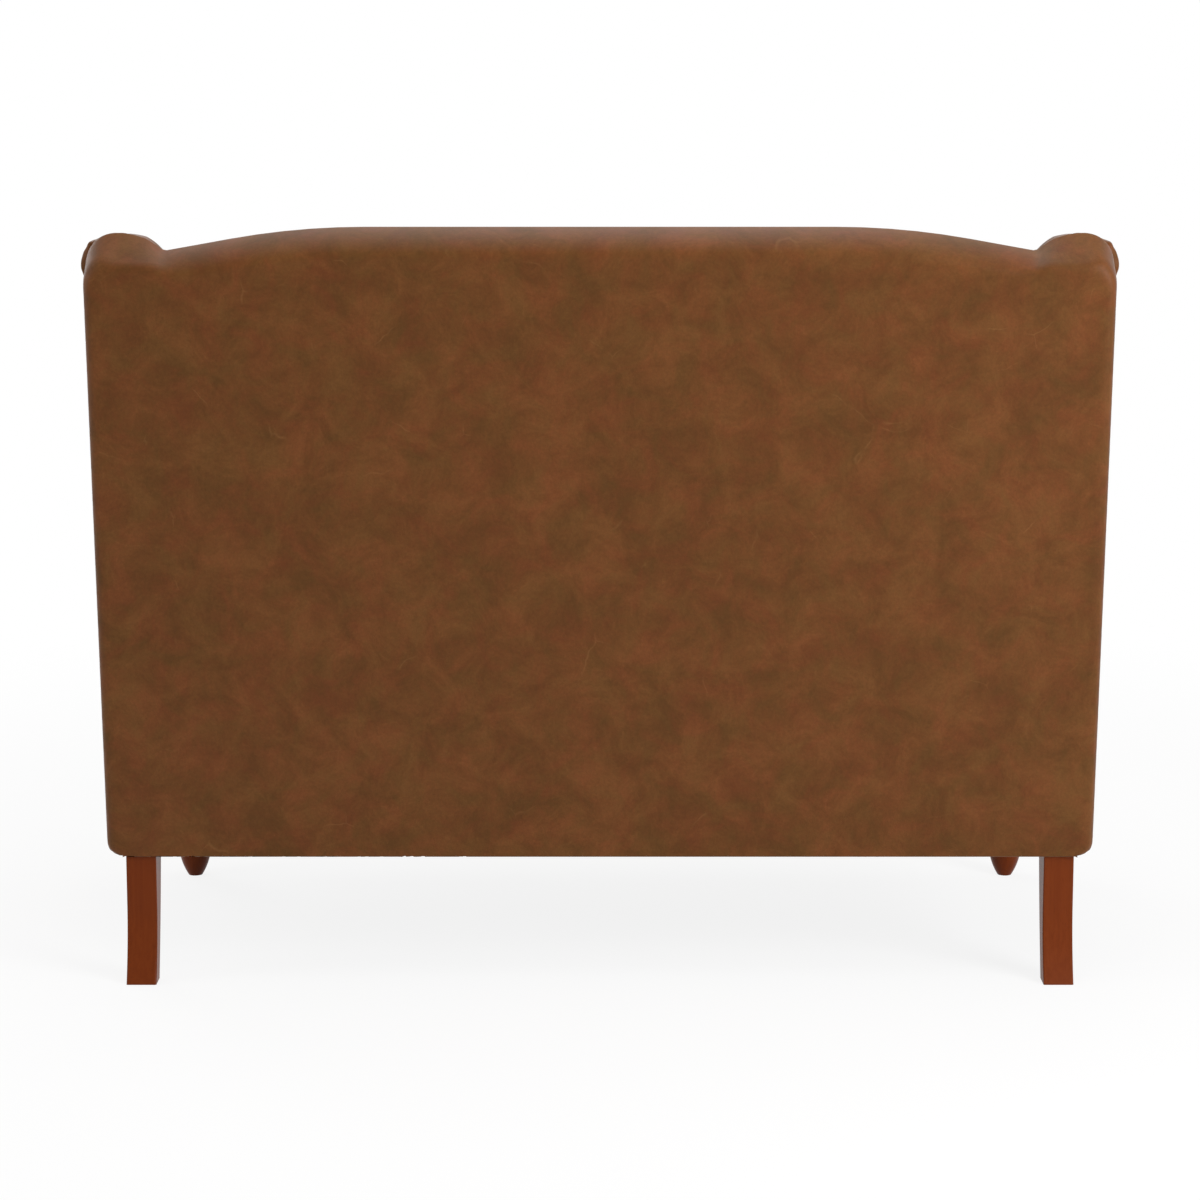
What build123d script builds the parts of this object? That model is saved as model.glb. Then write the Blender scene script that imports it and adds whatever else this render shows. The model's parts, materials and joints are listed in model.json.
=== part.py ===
from build123d import *
import os
from math import cos, radians, sin, sqrt, tan

# Overall sizes, in millimetres and degrees
overall_height = 1008.0     # floor to the crown of the back
overall_depth = 735.0       # front of the seat cushions to the rear of the back
body_width = 1310.0         # across the outside panels
side_thickness = 100.0      # an arm or a wing, inner face to outside panel
floor_clearance = 172.0     # floor to the lower edge of the covers
frame_rise = 4.0            # frame's underside above that edge
rail_setback = 1.0          # front rail behind the arm's front
back_rake = 6.8             # lean of the outside back

# Outside back
cover_thickness = 6.0       # leather with the wadding sewn behind it
crown_round = 20.0
side_round = 12.0
ear_run = 45.0              # depth over which an ear slopes up to its front edge
ear_slope = 57.0            # lean of that slope from the outside back
ear_bend_radius = 25.0      # bend below the slope
hem_corner_radius = 16.0    # lower corners
crown_half_length = 300.0   # level part of the crown, from the middle
shoulder_run = 170.0        # arc from the crown to the sloping shoulder
shoulder_radius = 950.0
ear_drop = 7.0              # peak of an ear below the crown
ear_outer_radius = 41.0
ear_sag = 6.4               # bow of the ear between its peak and the shoulder
ear_lap = 1.0               # ear's foot past the inner face of the wing
least_rise = 0.5            # ear's peak over its foot where its bow fades out
wadding_thickness = 5.4

# Wing and arm outline, seen from the side
arm_height = 612.0
wing_top_run = 52.0         # level part of the wing's top in front of the outside back
wing_nose_radius = 155.0
wing_lean = 80.0            # slope of the wing's front edge
arm_sweep_radius = 120.0    # hollow where the wing runs into the arm
rim_depth = 100.0           # part of the section that follows the outline
rim_inner_radius = 78.0
rim_inner_corner = 24.0
roll_radius = 42.0
roll_depth = 45.0           # roll's middle below the outline
roll_inset = 31.0           # roll's middle in from the outside panel
panel_thickness = 2.7
arm_wall = 20.0             # padding inside an arm
arm_top_padding = 88.0
wing_seam_drop = 12.0       # seam between wing and arm, below the arm's top

# Seat
deck_height = 352.0
cushion_thickness = 118.0   # at the crown
cushion_edge = 12.0         # height of the rounded edge below and above the boxing
cushion_crown = 17.0
cushion_slope_run = 170.0   # sides of the crown, from the edge to its flat top
cushion_corner = 34.0
cushion_draw = 5.0          # how far the sides pull in between the corners
cushion_overhang = 15.0     # cushion in front of the facings
cushion_slack = 1.5         # clearance on every side of a cushion
cushion_foam_inset = 26.0
cushion_rear_slope = 18.0
rail_height = 300.0         # top of the seat rails
rail_thickness = 30.0
facing_thickness = 7.0
border_drop = 2.0           # front border's top below the deck

# Inside back
inside_back_depth = 150.0   # outside of the back to its inside face at the deck
inside_top_depth = 94.0     # the same below the rounded top
inside_top_round = 45.0
inside_crown = 10.0
inside_foam_inset = 22.0
inside_foam_backing = 6.0   # padding between foam and webbing
strap_width = 50.0
strap_thickness = 1.7

# Frame
board_thickness = 32.0      # back frame
post_width = 45.0
top_rail_height = 85.0
lumbar_rail_height = 55.0
lumbar_rise = 10.0          # lumbar rail above the deck
strut_width = 40.0
wing_board_thickness = 18.0
wing_board_inset = 55.0
wing_board_setback = 2.0    # board's face in from the back post's
stump_width = 50.0
stump_depth = 40.0
arm_rail_thickness = 25.0
block_depth = 64.0
dowel_radius = 5.0
dowel_length = 36.0
brace_width = 40.0
brace_height = 90.0

# Springs
spring_count = 9
spring_half_width = 26.0
spring_loop = 34.0
spring_loop_cut = 9.0
wire_size = 3.6
clip_width = 16.0
clip_length = 20.0
clip_height = 7.0
sheet_thickness = 1.5       # insulator and dust cover
leg_room = 1.0              # dust cover's cut-outs round the legs

# Legs
rear_leg_width = 40.0
rear_leg_top_depth = 55.0
rear_foot_depth = 36.0
rear_foot_kick = 24.0       # foot behind the leg's top
rear_kick_height = 105.0
rear_leg_setback = 6.8      # leg's top in front of the outside back's hem
rear_leg_bow = 3.5
leg_edge_radius = 2.0
leg_side_inset = 43.5       # middle of a leg in from the outside panel
front_leg_setback = 25.3    # middle of a front leg behind the front rail's face
front_leg_collar = 24.0     # radii of the turned leg
front_leg_neck = 19.0
front_leg_bead = 24.0
front_leg_belly = 29.0
front_leg_ankle = 21.5
front_leg_toe = 10.3
belly_height = 95.0
ankle_height = 26.0
collar_height = 12.0        # plain collar at the top of a front leg
cove_height = 14.0          # hollow below the collar
bead_height = 8.0
bead_edge = 2.0             # bow of the bead
toe_bow = 1.1               # bows of the turned outline
ankle_bow = 2.5
neck_bow = 2.3
bolt_radius = 4.0
bolt_length = 86.0
insert_radius = 6.0
insert_length = 16.0

# Clearances
fit_gap = 0.3
hole_gap = 0.2
far = 3000.0

# Derived places
rake = radians(back_rake)
lean = radians(wing_lean)
half_width = body_width / 2
side_inner = half_width - side_thickness
skin_x = half_width - panel_thickness - fit_gap
front_y = -overall_depth / 2
facing_front = front_y + cushion_overhang
arm_front = facing_front + facing_thickness + fit_gap
rail_front = arm_front + rail_setback
rail_rear = rail_front + rail_thickness
frame_base = floor_clearance + frame_rise
back_normal = Vector(0, -cos(rake), sin(rake))
back_up = Vector(0, sin(rake), cos(rake))
frame_w = cover_thickness + wadding_thickness + 2 * fit_gap
frame_front_w = frame_w + board_thickness
pad_w = frame_front_w + 2 * (strap_thickness + hole_gap) + fit_gap
back_wrap = pad_w - fit_gap
crown_v = (overall_height - floor_clearance - back_wrap * sin(rake)) / cos(rake)
hem_y = overall_depth / 2 - (crown_v - crown_round) * sin(rake)
back_origin = Vector(0, hem_y, floor_clearance)
ear_v = crown_v - ear_drop
ear_u = half_width - ear_outer_radius
valley_u = side_inner + ear_lap
shoulder_u = crown_half_length + shoulder_run
shoulder_drop = shoulder_radius - sqrt(shoulder_radius ** 2 - shoulder_run ** 2)
shoulder_slope = shoulder_run / sqrt(shoulder_radius ** 2 - shoulder_run ** 2)


def crown_line(u):
    """Height of the back's top along the raked back, without the ears."""
    across = abs(u)
    if across <= crown_half_length:
        return crown_v
    run = across - crown_half_length
    if run <= shoulder_run:
        return crown_v - shoulder_radius + sqrt(shoulder_radius ** 2 - run ** 2)
    return crown_v - shoulder_drop - (across - shoulder_u) * shoulder_slope


valley_v = crown_line(valley_u)


def back_plane(w):
    """Plane of the raked back, w in front of the outside."""
    return Plane(origin=back_origin + back_normal * w, x_dir=(1, 0, 0), z_dir=back_normal)


def back_point(u, v, w):
    """World point of a place on the raked back."""
    return back_origin + Vector(u, 0, 0) + back_up * v + back_normal * w


def back_box(u0, u1, v0, v1, w0, w1):
    """Box square to the raked back."""
    middle = Pos((u0 + u1) / 2, (v0 + v1) / 2, (w0 + w1) / 2)
    return back_plane(0) * middle * Box(u1 - u0, v1 - v0, w1 - w0)


def world_box(x0, x1, y0, y1, z0, z1):
    """Box square to the floor."""
    middle = Pos((x0 + x1) / 2, (y0 + y1) / 2, (z0 + z1) / 2)
    return middle * Box(x1 - x0, y1 - y0, z1 - z0)


def height_v(z, w):
    """Place along the raked back, w in front of it, of a height above the floor."""
    return (z - floor_clearance - w * sin(rake)) / cos(rake)


def level_slice(part, z0, z1):
    """What of a part lies between two heights."""
    return part & world_box(-far, far, -far, far, z0, z1)


def in_front_of_back(part, w):
    """What of a part lies in front of a plane of the raked back."""
    return part & back_box(-far, far, -far, far, w, w + far)


def both_sides(left):
    """A left-hand part and its mirror image."""
    return left, mirror(left, about=Plane.YZ)


def rounding(w, radius):
    """Inset of a rounded edge at a depth below the face it leaves."""
    if w >= radius:
        return 0.0
    return radius - sqrt(radius ** 2 - (radius - w) ** 2)


def sloping(w, run, radius, lean):
    """Drop of an edge that bends out of the face and then slopes straight up, at a depth below that face."""
    turned = radius * (1 - cos(lean))
    if w >= run:
        return 0.0
    if w >= turned:
        return (run - w) / tan(lean)
    return (run - turned) / tan(lean) + radius * sin(lean) - sqrt(radius ** 2 - (radius - w) ** 2)


ear_fall = sloping(0, ear_run, ear_bend_radius, radians(ear_slope))


def arc_through(start, end, bow):
    """Arc between two plan points that bows to the left of their line."""
    dx, dy = end[0] - start[0], end[1] - start[1]
    size = sqrt(dx ** 2 + dy ** 2)
    middle = ((start[0] + end[0]) / 2 - dy / size * bow, (start[1] + end[1]) / 2 + dx / size * bow)
    return ThreePointArc(start, middle, end)


def corner_bow(radius):
    """Bow of a quarter circle over its chord."""
    return radius * (1 - sqrt(0.5))


def outside_outline(w, inset, hem):
    """Outline of the outside back at depth w, drawn in by an inset, with its hem at a given height."""
    side = half_width - inset - rounding(w - inset, side_round - inset)
    top = crown_v - inset - rounding(w - inset, crown_round - inset)
    ear = ear_v - inset - sloping(w - inset, ear_run - inset, ear_bend_radius - inset, radians(ear_slope))
    valley = valley_v - inset - rounding(w - inset, crown_round - inset)
    ear_bow = ear_sag * max(ear - valley, least_rise) / (ear_v - valley_v)
    ear_radius = ear_outer_radius - inset
    low_corner = (side - hem_corner_radius, hem)
    high_corner = (side, hem + hem_corner_radius)
    ear_foot = (side, ear - ear_radius)
    ear_peak = (ear_u, ear)
    dip = (valley_u, valley)
    shoulder = (shoulder_u, top - shoulder_drop)
    crown_end = (crown_half_length, top)
    half = make_face([
        Line((0, hem), low_corner),
        arc_through(low_corner, high_corner, -corner_bow(hem_corner_radius)),
        Line(high_corner, ear_foot),
        arc_through(ear_foot, ear_peak, -corner_bow(ear_radius)),
        arc_through(ear_peak, dip, -ear_bow),
        Line(dip, shoulder),
        arc_through(shoulder, crown_end, -shoulder_run ** 2 / 8 / shoulder_radius),
        Line(crown_end, (0, top)),
        Line((0, top), (0, hem)),
    ])
    return back_plane(w) * (half + mirror(half, about=Plane.YZ)).face()


def outside_form(inset, hem):
    """Rounded body of the outside back, drawn in by an inset."""
    steps = 6
    radius = ear_run - inset
    levels = [inset + radius * (1 - cos(radians(90 * i / steps))) for i in range(steps + 1)]
    return loft([outside_outline(level, inset, hem) for level in levels + [back_wrap]], ruled=True)


def outside_back_cover():
    """Leather cover of the outside back, open to the front and below."""
    return outside_form(0.0, 0.0) - outside_form(cover_thickness, -2 * hem_corner_radius)


# Side outline: the wing's top, its nose, its front edge, the hollow above the arm and the arm's top
wing_top = back_point(0, ear_v, pad_w).Z
nose_y = back_point(0, ear_v, pad_w).Y - wing_top_run
nose_z = wing_top - wing_nose_radius
bend_drop = (wing_nose_radius + arm_sweep_radius) * (1 - cos(lean))
edge_length = (wing_top - arm_height - bend_drop) / sin(lean)
sweep_y = nose_y - (wing_nose_radius + arm_sweep_radius) * sin(lean) - edge_length * cos(lean)
sweep_z = arm_height + arm_sweep_radius
arm_base = rail_height + fit_gap
cavity_top = arm_height - arm_top_padding
wing_seam = arm_height - wing_seam_drop


def nose_point(inset, angle):
    """Point of the rounded nose of the side outline."""
    radius = wing_nose_radius - inset
    return nose_y - radius * sin(angle), nose_z + radius * cos(angle)


def sweep_point(inset, angle):
    """Point of the hollow above the arm in the side outline."""
    radius = arm_sweep_radius + inset
    return sweep_y + radius * sin(angle), sweep_z - radius * cos(angle)


def side_region(inset, low, front):
    """Area below the side outline, drawn in by an inset."""
    rear = nose_y + far
    top = nose_point(inset, 0)
    arm_end = (front, arm_height - inset)
    return Plane.YZ * make_face([
        Line((rear, top[1]), top),
        ThreePointArc(top, nose_point(inset, lean / 2), nose_point(inset, lean)),
        Line(nose_point(inset, lean), sweep_point(inset, lean)),
        ThreePointArc(sweep_point(inset, lean), sweep_point(inset, lean / 2), sweep_point(inset, 0)),
        Line(sweep_point(inset, 0), arm_end),
        Line(arm_end, (front, low)),
        Line((front, low), (rear, low)),
        Line((rear, low), (rear, top[1])),
    ])


def side_plate(inset, low, front, x0, x1):
    """Plate of the side outline between two places across the settee."""
    return Pos(x0, 0, 0) * extrude(side_region(inset, low, front), amount=x1 - x0, dir=(1, 0, 0))


def rim_section():
    """Section of a wing or arm across its edge, the outline at height zero."""
    reach = ear_u - side_inner
    shoulder_depth = rim_inner_radius - sqrt(rim_inner_radius ** 2 - reach ** 2)
    outer_radius = skin_x - ear_u
    inner_bow = rim_inner_radius - sqrt(rim_inner_radius ** 2 - (reach ** 2 + shoulder_depth ** 2) / 4)
    inner_shoulder = (side_inner, -shoulder_depth)
    peak = (ear_u, 0)
    outer_shoulder = (skin_x, -outer_radius)
    body = make_face([
        Line((side_inner, -rim_depth), inner_shoulder),
        arc_through(inner_shoulder, peak, inner_bow),
        arc_through(peak, outer_shoulder, corner_bow(outer_radius)),
        Line(outer_shoulder, (skin_x, -rim_depth)),
        Line((skin_x, -rim_depth), (side_inner, -rim_depth)),
    ])
    sharp = body.vertices().sort_by_distance((*inner_shoulder, 0))[0]
    roll = Pos(half_width - roll_inset, -roll_depth) * Circle(roll_radius)
    return fillet(sharp, rim_inner_corner) + roll


def rim_at(point, slope):
    """Edge section set up at a point of the side outline, square to its slope."""
    heading = Vector(0, -cos(slope), -sin(slope))
    return Plane(origin=(0, *point), x_dir=(1, 0, 0), z_dir=heading) * rim_section()


def side_form():
    """Wing and arm of the left side in one."""
    start = (nose_y + wing_top_run + back_wrap, wing_top)
    nose_axis = Axis((0, nose_y, nose_z), (1, 0, 0))
    sweep_axis = Axis((0, sweep_y, sweep_z), (-1, 0, 0))
    pieces = [
        extrude(rim_at(start, 0), amount=start[0] - nose_y),
        revolve(rim_at((nose_y, wing_top), 0), nose_axis, revolution_arc=wing_lean),
        extrude(rim_at(nose_point(0, lean), lean), amount=edge_length),
        revolve(rim_at(sweep_point(0, lean), lean), sweep_axis, revolution_arc=wing_lean),
        extrude(rim_at(sweep_point(0, 0), 0), amount=sweep_y - arm_front),
    ]
    form = side_plate(rim_depth - dowel_radius, arm_base, arm_front, side_inner, skin_x)
    for piece in pieces:
        form += piece
    form = in_front_of_back(form, pad_w)
    hollow = world_box(side_inner + arm_wall, far, arm_front + arm_wall, far, 0, cavity_top)
    slot = wing_board_blank(fit_gap)
    return form & world_box(0, far, -far, far, arm_base, far) - hollow - slot


# Places of the frame across the settee
block_x = side_inner + rail_thickness + fit_gap
block_outer = half_width - cover_thickness - fit_gap
post_outer = block_x + post_width
board_outer = post_outer - wing_board_setback
stump_x = block_outer - stump_width
frame_end = block_x - fit_gap
leg_top = frame_base - fit_gap
leg_centre_x = half_width - leg_side_inset
rear_leg_y = hem_y - rear_leg_setback
rear_foot_y = rear_leg_y + rear_foot_kick
front_leg_y = rail_front + front_leg_setback
rear_bolt_y = rear_leg_y - rear_leg_top_depth / 2
block_rear = back_point(0, height_v(frame_base, frame_w), frame_w).Y
sheet_low = rail_height + clip_height + fit_gap
deck_base = sheet_low + sheet_thickness + fit_gap
spring_rear = back_point(0, height_v(rail_height, frame_w), frame_w).Y - board_thickness / 2
spring_front = rail_front + rail_thickness / 2
top_rail_low = crown_v - crown_round - top_rail_height
lumbar_low = height_v(deck_height, 0) + lumbar_rise
lumbar_high = lumbar_low + lumbar_rail_height
mid_w = frame_w + board_thickness / 2


def wing_board_blank(gap):
    """Board that stiffens a wing, grown by a gap."""
    inset = wing_board_inset - gap
    x0 = board_outer - wing_board_thickness - gap
    board = side_plate(inset, cavity_top + fit_gap - gap, sweep_y - far, x0, board_outer + gap)
    board = board & world_box(0, far, sweep_y - gap, far, 0, far)
    return in_front_of_back(board, frame_front_w + fit_gap)


def wing_and_arm():
    """Left wing and left arm, parted along their seam."""
    form = side_form()
    wing_side = world_box(0, far, sweep_y, far, wing_seam, far)
    arm_side = world_box(0, far, sweep_y - fit_gap, far, wing_seam - fit_gap, far)
    return form & wing_side, form - arm_side


def outside_panel():
    """Outside panel of the left wing and arm."""
    tuck = roll_depth + roll_radius + fit_gap
    panel = side_plate(tuck, floor_clearance, arm_front, skin_x + fit_gap, half_width)
    return in_front_of_back(panel, pad_w)


def arm_facing():
    """Front facing of the left arm."""
    drop = arm_height - floor_clearance
    plane = Plane(origin=(0, arm_front - fit_gap, arm_height), x_dir=(1, 0, 0), z_dir=(0, -1, 0))
    overlap = rim_depth / 2
    centre = Pos((side_inner + skin_x) / 2, -(drop + overlap) / 2)
    column = centre * Rectangle(skin_x - side_inner, drop - overlap)
    return extrude(plane * (rim_section() + column), amount=facing_thickness)


def front_border():
    """Padded strip below the seat cushions."""
    reach = side_inner - fit_gap
    top = deck_height - border_drop
    strip = world_box(-reach, reach, facing_front, rail_front - fit_gap, floor_clearance, top)
    edges = strip.faces().sort_by(Axis.Y)[0].edges()
    return fillet(edges, facing_thickness / 2)


def inside_profile(u, reach):
    """Section of the inside back at a place across it."""
    end_gap = reach - abs(u)
    draw = rounding(end_gap, inside_top_round / 2)
    swell = inside_crown * (1 - (u / reach) ** 2)
    low = inside_back_depth - draw + swell
    high = inside_top_depth - draw
    base = deck_height + fit_gap
    top = crown_line(u) - draw / 2
    rear_low = (pad_w, height_v(base, pad_w))
    front_low = (low, height_v(base, low))
    front_high = (high, top - inside_top_round)
    ridge = (pad_w, top)
    plane = Plane(origin=back_point(u, 0, 0), x_dir=back_normal, z_dir=(-1, 0, 0))
    return plane * make_face([
        Line(rear_low, front_low),
        arc_through(front_low, front_high, -inside_crown),
        arc_through(front_high, ridge, -corner_bow(inside_top_round)),
        Line(ridge, rear_low),
    ])


def inside_back_parts():
    """Cover and foam of the inside back."""
    reach = side_inner - 2 * fit_gap
    edge = inside_top_round / 2
    half = [0.0, 0.25 * reach, crown_half_length, crown_half_length + shoulder_run / 2, shoulder_u]
    half += [reach - edge, reach - edge / 2, reach - edge / 7, reach]
    places = sorted({-u for u in half} | set(half))
    form = loft([inside_profile(u, reach) for u in places], ruled=True)
    rear = pad_w + inside_foam_backing
    foam_low = height_v(deck_height + inside_foam_inset, 0)
    foam_high = valley_v - inside_top_round
    foam_end = reach - 2 * inside_foam_inset
    plane = Plane(origin=back_point(-foam_end, 0, 0), x_dir=back_normal, z_dir=(-1, 0, 0))
    section = plane * make_face(Polyline(
        (rear, foam_low),
        (inside_back_depth - inside_foam_inset, foam_low),
        (inside_top_depth - inside_foam_inset, foam_high),
        (rear, foam_high),
        close=True,
    ))
    foam = extrude(section, amount=2 * foam_end, dir=(1, 0, 0))
    pocket = offset(foam, amount=hole_gap, kind=Kind.INTERSECTION)
    return form - pocket, foam


def cushion_outline(z, inset, rear_shift):
    """Plan outline of the left seat cushion at a height, its sides drawn in between the corners."""
    x0, x1 = cushion_slack + inset, side_inner - cushion_slack - inset
    y0, y1 = front_y + inset, cushion_rear - inset + rear_shift
    c = cushion_corner
    bow = corner_bow(c)
    return Pos(0, 0, z) * make_face([
        arc_through((x0 + c, y0), (x1 - c, y0), cushion_draw),
        arc_through((x1 - c, y0), (x1, y0 + c), -bow),
        arc_through((x1, y0 + c), (x1, y1 - c), cushion_draw),
        arc_through((x1, y1 - c), (x1 - c, y1), -bow),
        arc_through((x1 - c, y1), (x0 + c, y1), cushion_draw),
        arc_through((x0 + c, y1), (x0, y1 - c), -bow),
        arc_through((x0, y1 - c), (x0, y0 + c), cushion_draw),
        arc_through((x0, y0 + c), (x0 + c, y0), -bow),
    ])


cushion_rear = back_point(0, height_v(deck_height, inside_back_depth), inside_back_depth).Y
cushion_rear -= inside_crown + cushion_slack


def cushion_parts():
    """Cover and foam of the left seat cushion."""
    low = deck_height + fit_gap
    edge = cushion_edge
    seam = cushion_thickness - cushion_crown
    levels = [
        (0.0, edge), (edge * 0.3, edge * 0.3), (edge, 0.0),
        (seam - edge, 0.0), (seam - edge * 0.3, edge * 0.3), (seam, edge),
    ]
    for share in (0.3, 0.6, 1.0):
        rise = cushion_crown * sin(radians(90 * share))
        levels.append((seam + rise, edge + cushion_slope_run * share))
    shape = [
        cushion_outline(low + up, inset, cushion_rear_slope * min(up / seam, 1.0))
        for up, inset in levels
    ]
    form = loft(shape, ruled=True)
    inset = cushion_foam_inset
    foam = world_box(
        cushion_slack + inset, side_inner - cushion_slack - inset,
        front_y + inset, cushion_rear - inset,
        low + inset / 2, low + seam - inset / 2,
    )
    pocket = offset(foam, amount=hole_gap, kind=Kind.INTERSECTION)
    return form - pocket, foam


def spring_place(i):
    """Place across the seat of a spring."""
    span = 2 * side_inner - 4 * spring_half_width
    return -span / 2 + span * i / (spring_count - 1)


def seat_spring(x):
    """One zigzag seat spring, lying on the front and rear rails."""
    loops = 2 * round((spring_rear - spring_front) / spring_loop / 2)
    pitch = (spring_rear - spring_front) / loops
    cut = spring_loop_cut
    height = rail_height + hole_gap + wire_size / 2
    points = [(x - spring_half_width, spring_front, height)]
    for i in range(loops):
        way = 1 if i % 2 == 0 else -1
        side = x + way * spring_half_width
        y0, y1 = spring_front + i * pitch, spring_front + (i + 1) * pitch
        points += [(side - way * cut, y0, height), (side, y0 + cut, height)]
        points += [(side, y1 - cut, height), (side - way * cut, y1, height)]
    points.append((x + spring_half_width, spring_rear, height))
    start = Plane(origin=points[0], x_dir=(0, 1, 0), z_dir=(1, 0, 0))
    return sweep(start * Rectangle(wire_size, wire_size), path=Polyline(*points), transition=Transition.RIGHT)


def spring_clip(x, y):
    """Clip that holds the end of a spring down on its rail."""
    half_clip, half_length = clip_width / 2, clip_length / 2
    body = world_box(
        x - half_clip, x + half_clip, y - half_length, y + half_length,
        rail_height, rail_height + clip_height,
    )
    channel = wire_size / 2 + hole_gap
    channel_top = rail_height + wire_size + 2 * hole_gap
    return body - world_box(x - far, x + far, y - channel, y + channel, 0, channel_top)


def webbing():
    """Straps across the back frame, upright ones behind level ones."""
    w0 = frame_front_w + hole_gap
    w1 = w0 + strap_thickness + hole_gap
    straps = []
    for u in (-0.8, -0.5, -0.2, 0.2, 0.5, 0.8):
        middle = u * shoulder_u
        straps.append(back_box(
            middle - strap_width / 2, middle + strap_width / 2,
            lumbar_low + lumbar_rail_height / 3, top_rail_low + top_rail_height / 3,
            w0, w0 + strap_thickness,
        ))
    reach = stump_x - fit_gap
    for share in (0.25, 0.5, 0.75):
        middle = lumbar_high + share * (top_rail_low - lumbar_high)
        straps.append(back_box(
            -reach, reach, middle - strap_width / 2, middle + strap_width / 2, w1, w1 + strap_thickness,
        ))
    return straps


def top_rail():
    """Curved top rail of the back frame."""
    drop = crown_round
    end_top = (frame_end, crown_line(frame_end) - drop)
    shoulder = (shoulder_u, crown_v - shoulder_drop - drop)
    crown_end = (crown_half_length, crown_v - drop)
    half = make_face([
        Line((0, top_rail_low), (frame_end, top_rail_low)),
        Line((frame_end, top_rail_low), end_top),
        Line(end_top, shoulder),
        arc_through(shoulder, crown_end, -shoulder_run ** 2 / 8 / shoulder_radius),
        Line(crown_end, (0, crown_v - drop)),
        Line((0, crown_v - drop), (0, top_rail_low)),
    ])
    outline = back_plane(frame_w) * (half + mirror(half, about=Plane.YZ))
    return extrude(outline, amount=board_thickness, dir=back_normal)


def dowel_places():
    """Middle and direction of every frame dowel."""
    places = []
    rail_x = side_inner + rail_thickness / 2
    for x in (-rail_x, rail_x):
        for share in (0.25, 0.75):
            z = frame_base + share * (rail_height - frame_base)
            places.append(((x, rail_rear, z), (0, 1, 0)))
            rear = back_point(0, height_v(z, frame_front_w), frame_front_w)
            places.append(((x, rear.Y, z), (0, 1, 0)))
    for u in (-frame_end, frame_end):
        for v in (top_rail_low + top_rail_height * 0.25, (lumbar_low + lumbar_high) / 2):
            places.append((tuple(back_point(u, v, mid_w)), (1, 0, 0)))
    return places


def dowel(place, direction, gap):
    """One dowel grown by a gap, for itself or for its hole."""
    pin = Cylinder(dowel_radius + gap, dowel_length + 2 * gap)
    return Plane(origin=place, z_dir=direction) * pin


def bored(part, holes):
    """A part with the holes that reach it."""
    box = part.bounding_box()
    for hole in holes:
        other = hole.bounding_box()
        if box.overlaps(other):
            part = part - hole
    return part


def rear_leg():
    """Left rear leg, square in section, curving back to its foot."""
    front_top = rear_leg_y - rear_leg_top_depth
    front_foot = rear_foot_y - rear_foot_depth
    kick_radius = (rear_kick_height ** 2 + rear_foot_kick ** 2) / 2 / rear_foot_kick
    half_kick = rear_kick_height / 2
    kick_middle = rear_leg_y + kick_radius - sqrt(kick_radius ** 2 - half_kick ** 2)
    profile = Plane.YZ * make_face([
        Line((rear_leg_y, leg_top), (rear_leg_y, rear_kick_height)),
        ThreePointArc((rear_leg_y, rear_kick_height), (kick_middle, half_kick), (rear_foot_y, 0)),
        Line((rear_foot_y, 0), (front_foot, 0)),
        arc_through((front_foot, 0), (front_top, leg_top), rear_leg_bow),
        Line((front_top, leg_top), (rear_leg_y, leg_top)),
    ])
    inner_face = Pos(leg_centre_x - rear_leg_width / 2, 0, 0)
    leg = inner_face * extrude(profile, amount=rear_leg_width, dir=(1, 0, 0))
    long_edges = [e for e in leg.edges() if abs(e.bounding_box().size.Z) > rear_foot_depth]
    return fillet(long_edges, leg_edge_radius)


def front_leg():
    """Left front leg, turned, tapering to a small rounded toe."""
    collar = leg_top - collar_height
    bead_top = collar - cove_height
    bead_low = bead_top - bead_height
    bead_wall = front_leg_bead - bead_edge
    profile = Plane.XZ * make_face([
        Line((0, 0), (front_leg_toe, 0)),
        arc_through((front_leg_toe, 0), (front_leg_ankle, ankle_height), -toe_bow),
        arc_through((front_leg_ankle, ankle_height), (front_leg_belly, belly_height), -ankle_bow),
        arc_through((front_leg_belly, belly_height), (front_leg_neck, bead_low), -neck_bow),
        Line((front_leg_neck, bead_low), (bead_wall, bead_low)),
        arc_through((bead_wall, bead_low), (bead_wall, bead_top), -bead_edge),
        Line((bead_wall, bead_top), (front_leg_neck, bead_top)),
        arc_through((front_leg_neck, bead_top), (front_leg_collar, collar), bead_edge),
        Line((front_leg_collar, collar), (front_leg_collar, leg_top)),
        Line((front_leg_collar, leg_top), (0, leg_top)),
        Line((0, leg_top), (0, 0)),
    ])
    return Pos(leg_centre_x, front_leg_y, 0) * revolve(profile, Axis.Z)


def bolt_places():
    """Plan place of every leg bolt."""
    return [(x, y) for x in (-leg_centre_x, leg_centre_x) for y in (front_leg_y, rear_bolt_y)]


def upright(x, y, z0, z1, radius):
    """Upright round pin between two heights."""
    return Pos(x, y, (z0 + z1) / 2) * Cylinder(radius, z1 - z0)


def leg_hardware():
    """Bolts, threaded inserts and the holes that they need."""
    low, high = frame_base - bolt_length / 2, frame_base + bolt_length / 2
    bore = bolt_radius + hole_gap
    bolts = [upright(x, y, low, high, bolt_radius) for x, y in bolt_places()]
    sleeves = [
        upright(x, y, frame_base, frame_base + insert_length, insert_radius)
        - upright(x, y, 0, frame_base + bolt_length, bore)
        for x, y in bolt_places()
    ]
    sleeve_low, sleeve_high = frame_base - hole_gap, frame_base + insert_length + hole_gap
    holes = [
        upright(x, y, low - hole_gap, high + hole_gap, bore)
        + upright(x, y, sleeve_low, sleeve_high, insert_radius + hole_gap)
        for x, y in bolt_places()
    ]
    leg_holes = [upright(x, y, low - hole_gap, frame_base, bore) for x, y in bolt_places()]
    return bolts, sleeves, holes, leg_holes


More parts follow.
